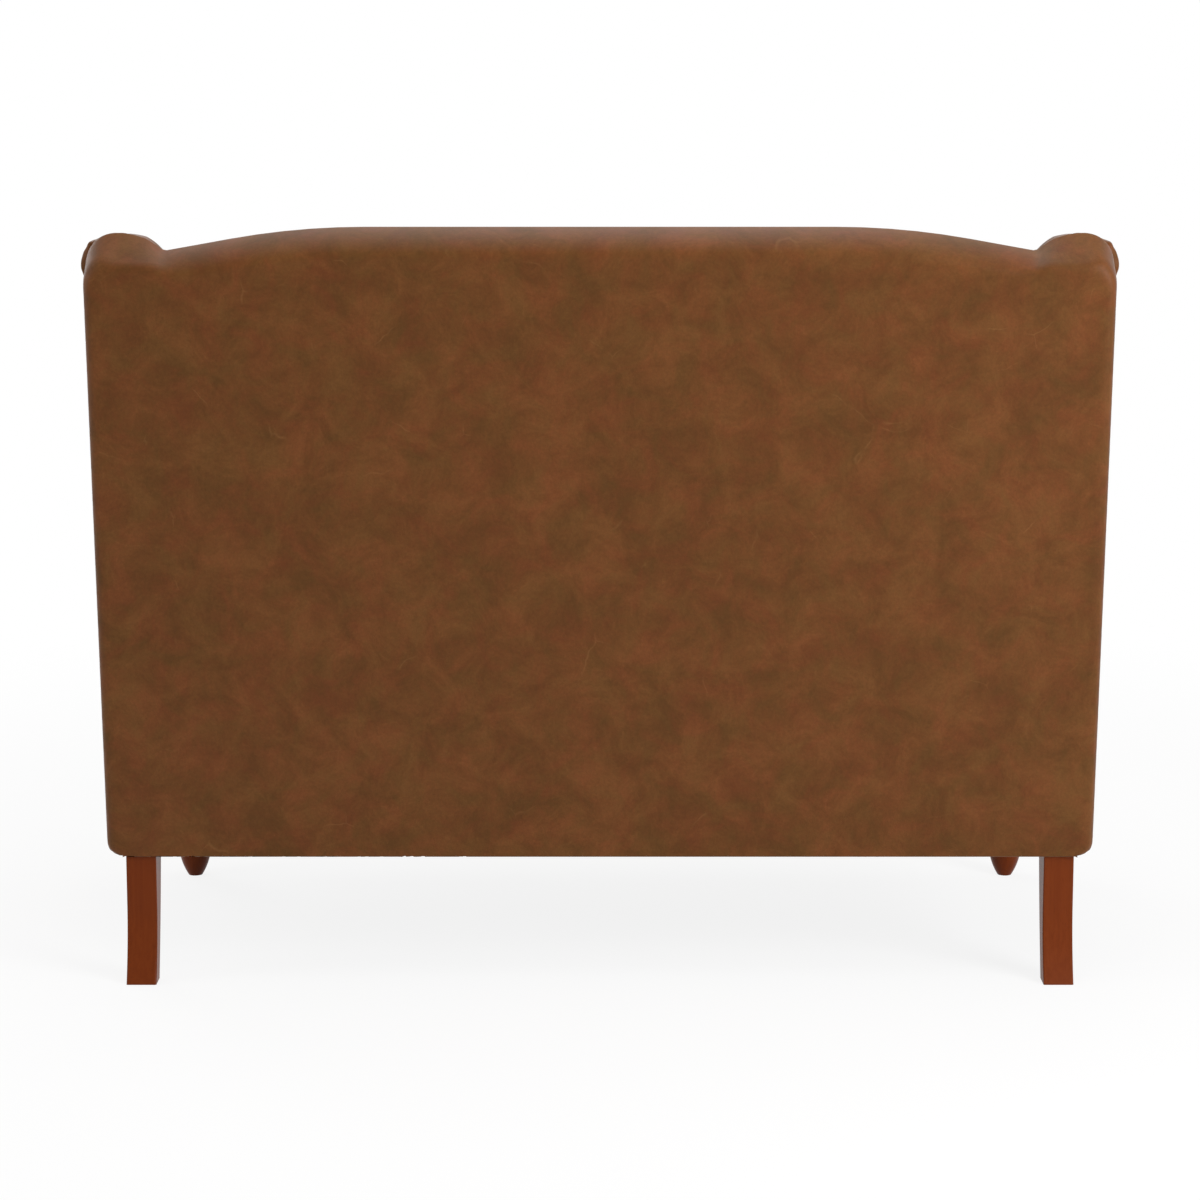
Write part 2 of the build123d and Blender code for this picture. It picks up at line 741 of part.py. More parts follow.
def leg_blocks():
    """Four corner blocks that the legs screw into."""
    front = world_box(block_x, block_outer, rail_front, rail_front + block_depth, frame_base, rail_height)
    rear = world_box(block_x, block_outer, block_rear - block_depth, block_rear, frame_base, rail_height)
    return [*both_sides(front), *both_sides(rear)]


def dust_cover():
    """Cloth below the seat frame, cut out round the legs."""
    reach = skin_x - cover_thickness
    sheet = world_box(-reach, reach, rail_front, block_rear, leg_top - sheet_thickness, leg_top)
    half_cut = rear_leg_width / 2 + leg_room
    rear_cut = world_box(
        leg_centre_x - half_cut, leg_centre_x + half_cut,
        rear_leg_y - rear_leg_top_depth - leg_room, rear_leg_y + far, 0, leg_top + leg_room,
    )
    front_cut = upright(leg_centre_x, front_leg_y, 0, leg_top + leg_room, front_leg_collar + leg_room)
    for cut in (*both_sides(rear_cut), *both_sides(front_cut)):
        sheet = sheet - cut
    return sheet


def build():
    """Every node of the settee by name."""
    parts = {}

    def pair(name, left):
        parts[name + "_left"], parts[name + "_right"] = both_sides(left)

    pins = [dowel(place, way, 0) for place, way in dowel_places()]
    pin_holes = [dowel(place, way, hole_gap) for place, way in dowel_places()]
    bolts, sleeves, block_holes, leg_holes = leg_hardware()

    parts["outside_back"] = outside_back_cover()
    parts["outside_back_wadding"] = back_box(
        -skin_x + hem_corner_radius, skin_x - hem_corner_radius,
        hem_corner_radius, valley_v - ear_fall,
        cover_thickness + fit_gap, cover_thickness + fit_gap + wadding_thickness,
    )
    parts["inside_back"], parts["inside_back_foam"] = inside_back_parts()
    parts["back_webbing"] = Compound(children=webbing())

    wing, arm = wing_and_arm()
    pair("wing", wing)
    pair("arm", arm)
    pair("outside_panel", outside_panel())
    pair("arm_facing", arm_facing())
    parts["front_border"] = front_border()

    cover, foam = cushion_parts()
    pair("seat_cushion", cover)
    pair("seat_foam", foam)
    reach = side_inner - fit_gap
    deck = world_box(-reach, reach, rail_front, far, deck_base, deck_height)
    parts["deck_pad"] = in_front_of_back(deck, pad_w)
    insulator = world_box(-reach, reach, rail_front, far, sheet_low, sheet_low + sheet_thickness)
    parts["spring_insulator"] = in_front_of_back(insulator, pad_w)
    places = [spring_place(i) for i in range(spring_count)]
    parts["seat_springs"] = Compound(children=[seat_spring(x) for x in places])
    ends = (spring_front, spring_rear)
    parts["spring_clips"] = Compound(children=[spring_clip(x, y) for x in places for y in ends])

    front_rail = world_box(-frame_end, frame_end, rail_front, rail_rear, frame_base, rail_height)
    parts["front_rail"] = bored(front_rail, pin_holes)
    rear_rail = back_box(-frame_end, frame_end, -far, far, frame_w, frame_front_w)
    parts["rear_seat_rail"] = bored(level_slice(rear_rail, frame_base, rail_height), pin_holes)
    side_rail = in_front_of_back(world_box(
        side_inner, side_inner + rail_thickness, rail_rear + hole_gap, far, frame_base, rail_height,
    ), frame_front_w + hole_gap)
    pair("side_rail", bored(side_rail, pin_holes))
    half_brace = brace_width / 2
    brace = world_box(-half_brace, half_brace, rail_rear, far, frame_base, frame_base + brace_height)
    parts["seat_brace"] = in_front_of_back(brace, frame_front_w)
    post = back_box(block_x, post_outer, 0, ear_v - ear_fall, frame_w, frame_front_w)
    pair("back_post", bored(level_slice(post, rail_height + fit_gap, far), pin_holes))
    parts["back_top_rail"] = bored(top_rail(), pin_holes)
    lumbar = back_box(-frame_end, frame_end, lumbar_low, lumbar_high, frame_w, frame_front_w)
    parts["back_lumbar_rail"] = bored(lumbar, pin_holes)
    half_strut = strut_width / 2
    parts["back_strut"] = back_box(-half_strut, half_strut, lumbar_high, top_rail_low, frame_w, frame_front_w)
    parts["frame_dowels"] = Compound(children=pins)
    pair("wing_board", wing_board_blank(0))
    arm_rail_low = cavity_top - arm_rail_thickness
    stump_front = arm_front + arm_wall + fit_gap
    stump_end = stump_x + stump_width
    stump_rear = stump_front + stump_depth
    pair("arm_stump", world_box(stump_x, stump_end, stump_front, stump_rear, rail_height, arm_rail_low))
    arm_rail = world_box(stump_x, stump_end, stump_front, far, arm_rail_low, cavity_top)
    pair("arm_rail", in_front_of_back(arm_rail, frame_front_w))
    blocks = [bored(block, block_holes) for block in leg_blocks()]
    parts["leg_blocks"] = Compound(children=blocks)

    pair("rear_leg", bored(rear_leg(), leg_holes))
    pair("front_leg", bored(front_leg(), leg_holes))
    parts["leg_bolts"] = Compound(children=bolts)
    parts["leg_inserts"] = Compound(children=sleeves)
    parts["dust_cover"] = dust_cover()
    return parts


os.makedirs("parts", exist_ok=True)
for node, shape in build().items():
    export_step(shape, "parts/" + node + ".step")
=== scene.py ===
"""Looks of a two-seat wingback settee in waxed brown hide: covers, cushions, welts, legs and studio."""
from __future__ import annotations

import json
import logging
import math
from contextlib import contextmanager
from dataclasses import dataclass, field
from enum import Enum
from typing import Iterator

import bpy
import numpy as np
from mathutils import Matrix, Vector

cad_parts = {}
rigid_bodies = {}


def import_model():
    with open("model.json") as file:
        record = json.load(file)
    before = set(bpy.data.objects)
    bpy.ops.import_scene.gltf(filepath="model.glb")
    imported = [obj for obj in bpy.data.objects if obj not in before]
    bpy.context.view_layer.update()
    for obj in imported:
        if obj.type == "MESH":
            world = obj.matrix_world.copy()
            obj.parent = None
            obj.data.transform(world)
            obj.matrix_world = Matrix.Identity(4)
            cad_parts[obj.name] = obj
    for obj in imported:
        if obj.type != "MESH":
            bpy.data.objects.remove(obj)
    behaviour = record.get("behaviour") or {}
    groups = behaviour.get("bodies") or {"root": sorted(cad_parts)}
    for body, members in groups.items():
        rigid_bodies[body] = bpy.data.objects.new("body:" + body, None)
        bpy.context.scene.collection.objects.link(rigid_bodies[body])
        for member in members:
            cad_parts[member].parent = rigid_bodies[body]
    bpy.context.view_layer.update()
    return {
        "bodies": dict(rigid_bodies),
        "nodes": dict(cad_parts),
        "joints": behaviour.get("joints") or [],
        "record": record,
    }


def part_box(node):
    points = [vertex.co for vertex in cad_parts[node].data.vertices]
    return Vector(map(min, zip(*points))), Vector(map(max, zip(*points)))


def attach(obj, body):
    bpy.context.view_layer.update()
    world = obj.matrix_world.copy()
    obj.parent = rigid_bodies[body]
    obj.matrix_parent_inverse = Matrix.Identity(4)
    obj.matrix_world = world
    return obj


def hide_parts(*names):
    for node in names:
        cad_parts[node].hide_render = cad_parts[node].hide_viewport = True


log = logging.getLogger("settee")

MM = 0.001
SETTEE = "settee"
CLOTH_STEPS = 20
CLOTH_QUALITY = 4
TINY = 1e-9
# Points nearer than this are merged.
WELD = 0.02 * MM
# A face looks along an axis where its normal has at least this share of it.
FACING = 0.9
# A wave texture of scale s repeats every tau / (WAVE_RATE * s).
WAVE_RATE = 20
# Halvings of the span in which a point's place is sought.
HALVINGS = 20

Piece = bpy.types.Object
Material = bpy.types.Material
Tree = bpy.types.NodeTree
Node = bpy.types.Node
Socket = bpy.types.NodeSocket


class Side(Enum):
    """The two sides of the settee, as its sitter names them."""

    LEFT = "left"
    RIGHT = "right"

    def named(self, part: str) -> str:
        """Name of a part on this side."""
        return f"{part}_{self.value}"

    def cushion(self) -> str:
        """Body of the loose cushion on this side."""
        return f"{self.value}_cushion"


class Grain(Enum):
    """Axis that the grain of a piece of wood follows."""

    ACROSS = 0
    UPRIGHT = 2


def linear(code: str) -> tuple[float, float, float, float]:
    """Turn an sRGB hex code into a linear colour.

    Args:
        code: colour such as "#693F22".

    Returns:
        Red, green, blue and an alpha of one.
    """
    parts = [int(code[i:i + 2], 16) / 255 for i in (1, 3, 5)]
    shades = [p / 12.92 if p <= 0.04045 else ((p + 0.055) / 1.055) ** 2.4 for p in parts]
    return (*shades, 1.0)


def add_node(tree: Tree, kind: str, settings: dict | None = None,
             links: dict | None = None) -> Node:
    """Add one node with its settings and links.

    Args:
        tree: node tree that takes the node.
        kind: identifier of the node, after ShaderNode.
        settings: properties, input values, or colour stops under the key "stops".
        links: output sockets by the input that they feed.

    Returns:
        The new node.
    """
    node = tree.nodes.new("ShaderNode" + kind)
    for key, value in (settings or {}).items():
        if key == "stops":
            ramp = node.color_ramp
            while len(ramp.elements) < len(value):
                ramp.elements.new(1.0)
            for element, (place, colour) in zip(ramp.elements, value):
                element.position = place
                element.color = colour
        elif isinstance(key, str) and hasattr(node, key):
            setattr(node, key, value)
        else:
            node.inputs[key].default_value = value
    for key, socket in (links or {}).items():
        tree.links.new(socket, node.inputs[key])
    return node


def new_finish(name: str) -> tuple[Material, Tree, Node]:
    """Start a material.

    Args:
        name: name of the material.

    Returns:
        The material, its node tree and its shader node.
    """
    material = bpy.data.materials.new(name)
    material.use_nodes = True
    tree = material.node_tree
    return material, tree, tree.nodes["Principled BSDF"]


def grey(level: float) -> tuple[float, float, float, float]:
    """Neutral linear colour of a level."""
    return (level, level, level, 1.0)


@dataclass(frozen=True)
class WaxedHide:
    """Full-grain cowhide, drum dyed and rubbed with wax.

    The eye gets a satin brown with cloudy red and olive patches, thin pale scar lines, a fine pebble
    grain and convex edges painted a little lighter, partly as rubbed wear and partly as a painted
    highlight.
    """

    name: str = "waxed_brown_hide"
    ground: str = "#643C1A"
    dark: str = "#563213"
    warm: str = "#724622"
    red: str = "#703B1D"
    olive: str = "#5C3F1A"
    scar: str = "#8C6038"
    # Lighter colour of the convex edges: partly rubbed wear, partly a painted highlight.
    rubbed_and_highlight: str = "#7E5734"
    cloud_size: float = 60 * MM
    drift_size: float = 46 * MM
    scar_size: float = 90 * MM
    fleck_size: float = 4 * MM
    # The real pebbles are about 1 mm; these are drawn coarser so that they show in the render.
    pebble_size: float = 2.6 * MM
    hue_share: float = 0.45
    fleck_share: float = 0.8
    scar_sway: float = 60 * MM
    roughness: float = 0.48
    roughness_spread: float = 0.05
    gloss: float = 0.1
    # Wax bloom, which greys the hide where it turns away from the eye.
    bloom: float = 0.16
    bloom_spread: float = 0.45

    def material(self) -> Material:
        """Build the hide.

        Returns:
            The finished material.
        """
        material, tree, shader = new_finish(self.name)
        place = add_node(tree, "TexCoord").outputs["Object"]
        cloud = add_node(tree, "TexNoise", {
            "Scale": 1 / self.cloud_size, "Detail": 8.0, "Roughness": 0.72, "Distortion": 0.5,
        }, {"Vector": place})
        drift = add_node(tree, "TexNoise", {
            "Scale": 1 / self.drift_size, "Detail": 6.0, "Roughness": 0.66, "Distortion": 0.6,
        }, {"Vector": place})
        tone = add_node(tree, "ValToRGB", {"stops": [
            (0.39, linear(self.dark)), (0.5, linear(self.ground)), (0.62, linear(self.warm)),
        ]}, {"Fac": cloud.outputs["Fac"]})
        hue = add_node(tree, "ValToRGB", {"stops": [
            (0.36, linear(self.olive)), (0.5, linear(self.ground)), (0.64, linear(self.red)),
        ]}, {"Fac": drift.outputs["Fac"]})
        mottled = add_node(tree, "Mix", {"data_type": "RGBA", 0: self.hue_share},
                           {6: tone.outputs["Color"], 7: hue.outputs["Color"]})
        scars = self.scar_mask(tree, place)
        scarred = add_node(tree, "Mix", {"data_type": "RGBA", 7: linear(self.scar)},
                           {0: scars, 6: mottled.outputs[2]})
        fleck = add_node(tree, "TexNoise", {
            "Scale": 1 / self.fleck_size, "Detail": 4.0, "Roughness": 0.75,
        }, {"Vector": place})
        fleck_tone = add_node(tree, "ValToRGB", {"stops": [
            (0.35, grey(0.82)), (0.65, grey(1.0)),
        ]}, {"Fac": fleck.outputs["Fac"]})
        flecked = add_node(tree, "Mix", {
            "data_type": "RGBA", "blend_type": "MULTIPLY", 0: self.fleck_share,
        }, {6: scarred.outputs[2], 7: fleck_tone.outputs["Color"]})
        # Convex edges, found by pointiness, are painted lighter: partly rubbed wear, partly a painted
        # highlight on the rolled edges and ear tops.
        edges = add_node(tree, "NewGeometry").outputs["Pointiness"]
        edge_wear_and_highlight = add_node(tree, "MapRange", {
            "From Min": 0.52, "From Max": 0.62, "To Min": 0.0, "To Max": 0.35,
        }, {"Value": edges})
        rubbed_and_highlight = add_node(tree, "Mix", {"data_type": "RGBA", 7: linear(self.rubbed_and_highlight)},
                          {0: edge_wear_and_highlight.outputs["Result"], 6: flecked.outputs[2]})
        tree.links.new(rubbed_and_highlight.outputs[2], shader.inputs["Base Color"])
        waxed = add_node(tree, "MapRange", {
            "From Min": 0.3, "From Max": 0.7,
            "To Min": self.roughness + self.roughness_spread,
            "To Max": self.roughness - self.roughness_spread,
        }, {"Value": drift.outputs["Fac"]})
        tree.links.new(waxed.outputs["Result"], shader.inputs["Roughness"])
        pebble = add_node(tree, "TexVoronoi", {
            "feature": "SMOOTH_F1", "Scale": 1 / self.pebble_size, "Smoothness": 0.6,
        }, {"Vector": place})
        grain = add_node(tree, "Bump", {"Strength": 0.22, "Distance": 0.25 * MM, "invert": True},
                         {"Height": pebble.outputs["Distance"]})
        creased = add_node(tree, "Bump", {"Strength": 0.3, "Distance": 0.4 * MM},
                           {"Height": cloud.outputs["Fac"], "Normal": grain.outputs["Normal"]})
        tree.links.new(creased.outputs["Normal"], shader.inputs["Normal"])
        shader.inputs["Specular IOR Level"].default_value = self.gloss
        shader.inputs["Sheen Weight"].default_value = self.bloom
        shader.inputs["Sheen Roughness"].default_value = self.bloom_spread
        return material

    def scar_mask(self, tree: Tree, place: Socket) -> Socket:
        """Thin broken lines that wander over the hide.

        Args:
            tree: node tree of the material.
            place: coordinates of the surface.

        Returns:
            Socket with the strength of the lines.
        """
        sway = add_node(tree, "TexNoise", {
            "Scale": 1 / self.scar_size, "Detail": 3.0, "Roughness": 0.5,
        }, {"Vector": place})
        swayed = add_node(tree, "VectorMath", {"operation": "MULTIPLY_ADD", 1: [self.scar_sway] * 3},
                          {0: sway.outputs["Color"], 2: place})
        cells = add_node(tree, "TexVoronoi", {
            "feature": "DISTANCE_TO_EDGE", "Scale": 1 / self.scar_size,
        }, {"Vector": swayed.outputs["Vector"]})
        line = add_node(tree, "MapRange", {
            "interpolation_type": "SMOOTHSTEP",
            "From Min": 0.0, "From Max": 0.016, "To Min": 1.0, "To Max": 0.0,
        }, {"Value": cells.outputs["Distance"]})
        breaks = add_node(tree, "TexNoise", {
            "Scale": 1.7 / self.scar_size, "Detail": 2.0, "Roughness": 0.5,
        }, {"Vector": place})
        kept = add_node(tree, "MapRange", {
            "interpolation_type": "SMOOTHSTEP",
            "From Min": 0.58, "From Max": 0.74, "To Min": 0.0, "To Max": 0.22,
        }, {"Value": breaks.outputs["Fac"]})
        return add_node(tree, "Math", {"operation": "MULTIPLY"},
                        {0: line.outputs["Result"], 1: kept.outputs["Result"]}).outputs["Value"]


@dataclass(frozen=True)
class Wood:
    """Planed or lacquered wood, with long growth streaks and fine pores along one axis."""

    name: str
    light: str
    dark: str
    pore: str
    grain: Grain
    roughness: float
    gloss: float = 0.4
    streak_width: float = 5 * MM
    streak_length: float = 130 * MM
    pore_width: float = 0.9 * MM
    pore_length: float = 14 * MM

    def stretched(self, tree: Tree, place: Socket, width: float,
                  length: float) -> Socket:
        """Coordinates drawn out along the grain.

        Args:
            tree: node tree of the material.
            place: coordinates of the surface.
            width: size of a feature across the grain.
            length: size of a feature along the grain.

        Returns:
            Socket with the stretched coordinates.
        """
        scale = [1 / width] * 3
        scale[self.grain.value] = 1 / length
        return add_node(tree, "Mapping", {"Scale": scale}, {"Vector": place}).outputs["Vector"]

    def material(self) -> Material:
        """Build the wood.

        Returns:
            The finished material.
        """
        material, tree, shader = new_finish(self.name)
        place = add_node(tree, "TexCoord").outputs["Object"]
        streak = add_node(tree, "TexNoise", {
            "Scale": 1.0, "Detail": 4.0, "Roughness": 0.55, "Distortion": 0.6,
        }, {"Vector": self.stretched(tree, place, self.streak_width, self.streak_length)})
        tone = add_node(tree, "ValToRGB", {"stops": [
            (0.3, linear(self.dark)), (0.7, linear(self.light)),
        ]}, {"Fac": streak.outputs["Fac"]})
        pore = add_node(tree, "TexNoise", {"Scale": 1.0, "Detail": 2.0, "Roughness": 0.5},
                        {"Vector": self.stretched(tree, place, self.pore_width, self.pore_length)})
        open_pore = add_node(tree, "MapRange", {
            "From Min": 0.6, "From Max": 0.72, "To Min": 0.0, "To Max": 0.45,
        }, {"Value": pore.outputs["Fac"]})
        shade = add_node(tree, "Mix", {"data_type": "RGBA", 7: linear(self.pore)},
                         {0: open_pore.outputs["Result"], 6: tone.outputs["Color"]})
        tree.links.new(shade.outputs[2], shader.inputs["Base Color"])
        polish = add_node(tree, "MapRange", {
            "To Min": self.roughness - 0.04, "To Max": self.roughness + 0.08,
        }, {"Value": streak.outputs["Fac"]})
        tree.links.new(polish.outputs["Result"], shader.inputs["Roughness"])
        relief = add_node(tree, "Bump", {"Strength": 0.15, "Distance": 0.1 * MM, "invert": True},
                          {"Height": open_pore.outputs["Result"]})
        tree.links.new(relief.outputs["Normal"], shader.inputs["Normal"])
        shader.inputs["Specular IOR Level"].default_value = self.gloss
        return material


@dataclass(frozen=True)
class Plywood:
    """Sawn birch plywood: pale faces and edges striped by the glued plies."""

    name: str = "birch_plywood"
    face: str = "#C9A878"
    glue: str = "#8A6640"
    # The real plies are under 2 mm; the stripes are drawn coarser so that they show in the render.
    stripe: float = 11.3 * MM
    roughness: float = 0.7

    def material(self) -> Material:
        """Build the plywood.

        Returns:
            The finished material.
        """
        material, tree, shader = new_finish(self.name)
        place = add_node(tree, "TexCoord").outputs["Object"]
        plies = add_node(tree, "TexWave", {
            "wave_type": "BANDS", "bands_direction": "X", "Scale": math.tau / (WAVE_RATE * self.stripe),
            "Distortion": 0.3,
        }, {"Vector": place})
        tone = add_node(tree, "ValToRGB", {"stops": [
            (0.1, linear(self.glue)), (0.4, linear(self.face)),
        ]}, {"Fac": plies.outputs["Fac"]})
        tree.links.new(tone.outputs["Color"], shader.inputs["Base Color"])
        shader.inputs["Roughness"].default_value = self.roughness
        return material


@dataclass(frozen=True)
class Fleece:
    """Foam, felt or bonded cloth: a matt ground broken up by cells or fibres of one size."""

    name: str
    light: str
    dark: str
    cell_size: float
    relief: float
    roughness: float = 0.95
    sheen: float = 0.15

    def material(self) -> Material:
        """Build the soft filling or cloth.

        Returns:
            The finished material.
        """
        material, tree, shader = new_finish(self.name)
        place = add_node(tree, "TexCoord").outputs["Object"]
        cells = add_node(tree, "TexNoise", {
            "Scale": 1 / self.cell_size, "Detail": 4.0, "Roughness": 0.65, "Distortion": 1.2,
        }, {"Vector": place})
        tone = add_node(tree, "ValToRGB", {"stops": [
            (0.3, linear(self.dark)), (0.7, linear(self.light)),
        ]}, {"Fac": cells.outputs["Fac"]})
        tree.links.new(tone.outputs["Color"], shader.inputs["Base Color"])
        nap = add_node(tree, "Bump", {"Strength": 0.5, "Distance": self.relief},
                       {"Height": cells.outputs["Fac"]})
        tree.links.new(nap.outputs["Normal"], shader.inputs["Normal"])
        shader.inputs["Roughness"].default_value = self.roughness
        shader.inputs["Sheen Weight"].default_value = self.sheen
        return material


@dataclass(frozen=True)
class WovenCloth:
    """Plain weave of two thread directions, as in webbing or decking cloth."""

    name: str
    light: str
    dark: str
    thread: float
    roughness: float = 0.9

    def material(self) -> Material:
        """Build the cloth.

        Returns:
            The finished material.
        """
        material, tree, shader = new_finish(self.name)
        place = add_node(tree, "TexCoord").outputs["Object"]
        # One repeat of the weave is a thread over and a thread under.
        bands = {"Scale": math.tau / (WAVE_RATE * 2 * self.thread), "Distortion": 0.4}
        warp = add_node(tree, "TexWave", {"bands_direction": "X", **bands}, {"Vector": place})
        weft = add_node(tree, "TexWave", {"bands_direction": "DIAGONAL", **bands}, {"Vector": place})
        weave = add_node(tree, "Math", {"operation": "MULTIPLY"},
                         {0: warp.outputs["Fac"], 1: weft.outputs["Fac"]})
        tone = add_node(tree, "ValToRGB", {"stops": [
            (0.05, linear(self.dark)), (0.6, linear(self.light)),
        ]}, {"Fac": weave.outputs["Value"]})
        tree.links.new(tone.outputs["Color"], shader.inputs["Base Color"])
        relief = add_node(tree, "Bump", {"Strength": 0.4, "Distance": 0.3 * MM},
                          {"Height": weave.outputs["Value"]})
        tree.links.new(relief.outputs["Normal"], shader.inputs["Normal"])
        shader.inputs["Roughness"].default_value = self.roughness
        return material


@dataclass(frozen=True)
class Steel:
    """Drawn or plated steel, a little uneven in its shine."""

    name: str
    colour: str
    tarnish: str
    roughness: float
    patch_size: float = 9 * MM

    def material(self) -> Material:
        """Build the metal.

        Returns:
            The finished material.
        """
        material, tree, shader = new_finish(self.name)
        place = add_node(tree, "TexCoord").outputs["Object"]
        patch = add_node(tree, "TexNoise", {"Scale": 1 / self.patch_size, "Detail": 4.0},
                         {"Vector": place})
        tone = add_node(tree, "ValToRGB", {"stops": [
            (0.35, linear(self.tarnish)), (0.65, linear(self.colour)),
        ]}, {"Fac": patch.outputs["Fac"]})
        tree.links.new(tone.outputs["Color"], shader.inputs["Base Color"])
        shine = add_node(tree, "MapRange", {
            "To Min": self.roughness + 0.1, "To Max": self.roughness - 0.1,
        }, {"Value": patch.outputs["Fac"]})
        tree.links.new(shine.outputs["Result"], shader.inputs["Roughness"])
        shader.inputs["Metallic"].default_value = 1.0
        return material


def only(piece: Piece) -> None:
    """Select one piece alone and make it active."""
    bpy.ops.object.select_all(action="DESELECT")
    piece.select_set(True)
    bpy.context.view_layer.objects.active = piece


@contextmanager
def editing(piece: Piece, kind: str = "VERT") -> Iterator[None]:
    """Hold a piece in edit mode.

    Args:
        piece: mesh or curve to edit.
        kind: what is selected in a mesh, VERT, EDGE or FACE.

    Returns:
        A context in which edit operators act on the piece.
    """
    only(piece)
    if piece.type == "MESH":
        bpy.context.tool_settings.mesh_select_mode = [kind == k for k in ("VERT", "EDGE", "FACE")]
    bpy.ops.object.mode_set(mode="EDIT")
    yield
    bpy.ops.object.mode_set(mode="OBJECT")


def points_of(piece: Piece) -> np.ndarray:
    """Points of a mesh, one row each."""
    flat = np.empty(len(piece.data.vertices) * 3)
    piece.data.vertices.foreach_get("co", flat)
    return flat.reshape(-1, 3)


def normals_of(piece: Piece) -> np.ndarray:
    """Normals at a mesh's points, one row each."""
    flat = np.empty(len(piece.data.vertices) * 3)
    piece.data.vertices.foreach_get("normal", flat)
    return flat.reshape(-1, 3)


def set_points(piece: Piece, points: np.ndarray) -> None:
    """Move a mesh's points to new places."""
    piece.data.vertices.foreach_set("co", points.ravel())
    piece.data.update()


def faces_of(piece: Piece) -> tuple[np.ndarray, np.ndarray]:
    """Middles and normals of a mesh's faces.

    Args:
        piece: mesh to read.

    Returns:
        Two arrays with a row for each face.
    """
    middles = np.empty(len(piece.data.polygons) * 3)
    normals = np.empty(len(piece.data.polygons) * 3)
    piece.data.polygons.foreach_get("center", middles)
    piece.data.polygons.foreach_get("normal", normals)
    return middles.reshape(-1, 3), normals.reshape(-1, 3)


def rim_of(piece: Piece) -> np.ndarray:
    """Find the open edges of a mesh.

    Args:
        piece: mesh to read.

    Returns:
        Mask of the points on open edges.
    """
    mesh = piece.data
    sides = np.empty(len(mesh.loops), int)
    mesh.loops.foreach_get("edge_index", sides)
    ends = np.empty(len(mesh.edges) * 2, int)
    mesh.edges.foreach_get("vertices", ends)
    single = np.bincount(sides, minlength=len(mesh.edges)) == 1
    mask = np.zeros(len(mesh.vertices), bool)
    mask[ends.reshape(-1, 2)[single].ravel()] = True
    return mask


def pick(piece: Piece, vertices: np.ndarray | None = None, faces: np.ndarray | None = None) -> None:
    """Select vertices or faces of a mesh by a mask.

    Args:
        piece: mesh in object mode.
        vertices: mask of vertices, or none of them.
        faces: mask of faces, or none of them.
    """
    mesh = piece.data
    for group, mask in ((mesh.vertices, vertices), (mesh.edges, None), (mesh.polygons, faces)):
        group.foreach_set("select", np.zeros(len(group), bool) if mask is None else mask)


def finish_with(piece: Piece, kind: str, **settings) -> None:
    """Add a modifier to a piece and apply it.

    Args:
        piece: mesh to change.
        kind: identifier of the modifier.
        settings: values of the modifier's properties.
    """
    only(piece)
    bpy.ops.object.modifier_add(type=kind)
    modifier = piece.modifiers[-1]
    for key, value in settings.items():
        setattr(modifier, key, value)
    bpy.ops.object.modifier_apply(modifier=modifier.name)


def cut(piece: Piece, place: np.ndarray, normal: np.ndarray, fill: bool = False,
        section: bool = False) -> None:
    """Cut away what lies on the far side of a plane.

    Args:
        piece: mesh to cut.
        place: point of the plane.
        normal: direction of the side that goes.
        fill: whether the cut is closed.
        section: whether both sides go, so that only the line of the cut stays.
    """
    with editing(piece):
        bpy.ops.mesh.select_all(action="SELECT")
        bpy.ops.mesh.bisect(plane_co=tuple(place), plane_no=tuple(normal), use_fill=fill,
                            clear_outer=True, clear_inner=section)


def new_piece(name: str, mesh: bpy.types.Mesh) -> Piece:
    """Put a mesh into the scene as a bare piece."""
    piece = bpy.data.objects.new(name, mesh)
    bpy.context.scene.collection.objects.link(piece)
    piece.data.materials.clear()
    return piece


def bench_copy(frame: dict, name: str, *nodes: str) -> Piece:
    """Copy solids into one new mesh, with their loose triangles merged.

    Args:
        frame: the loaded frame.
        name: name of the new piece.
        nodes: solids to copy.

    Returns:
        The new piece.
    """
    copies = [new_piece(name, frame["nodes"][node].data.copy()) for node in nodes]
    only(copies[0])
    for copy in copies:
        copy.select_set(True)
    if len(copies) > 1:
        bpy.ops.object.join()
    piece = copies[0]
    with editing(piece):
        bpy.ops.mesh.select_all(action="SELECT")
        bpy.ops.mesh.customdata_custom_splitnormals_clear()
        bpy.ops.mesh.remove_doubles(threshold=WELD)
    piece.data.materials.clear()
    return piece


def filler(name: str, low: tuple[float, float, float], high: tuple[float, float, float]) -> Piece:
    """Make a block, to be joined into a piece before it is remeshed.

    Args:
        name: name of the block.
        low: its lower corner.
        high: its upper corner.

    Returns:
        The block.
    """
    middle = [(a + b) / 2 for a, b in zip(low, high)]
    bpy.ops.object.select_all(action="DESELECT")
    bpy.ops.mesh.primitive_cube_add(size=1.0, location=middle, scale=[b - a for a, b in zip(low, high)])
    block = bpy.context.object
    block.name = name
    bpy.ops.object.transform_apply(location=True, rotation=True, scale=True)
    return block


def join(piece: Piece, *others: Piece) -> None:
    """Join other meshes into a piece.

    Args:
        piece: mesh that takes the others.
        others: meshes that go into it.
    """
    only(piece)
    for other in others:
        other.select_set(True)
    bpy.ops.object.join()


def mirror_copy(piece: Piece, name: str) -> Piece:
    """Copy a left-hand piece to the right, with its faces turned outwards again.

    Args:
        piece: left-hand piece.
        name: name of the copy.

    Returns:
        The right-hand piece.
    """
    copy = new_piece(name, piece.data.copy())
    set_points(copy, points_of(copy) * (-1, 1, 1))
    with editing(copy, "FACE"):
        bpy.ops.mesh.select_all(action="SELECT")
        bpy.ops.mesh.flip_normals()
    return copy


def smooth_all(piece: Piece, angle: float = 50.0) -> None:
    """Shade a piece smooth, apart from edges sharper than an angle in degrees."""
    only(piece)
    bpy.ops.object.shade_smooth_by_angle(angle=math.radians(angle))


def without(piece: Piece, mask: np.ndarray) -> None:
    """Delete the points of a mesh that a mask names."""
    pick(piece, vertices=mask)
    with editing(piece):
        bpy.ops.mesh.delete(type="VERT")


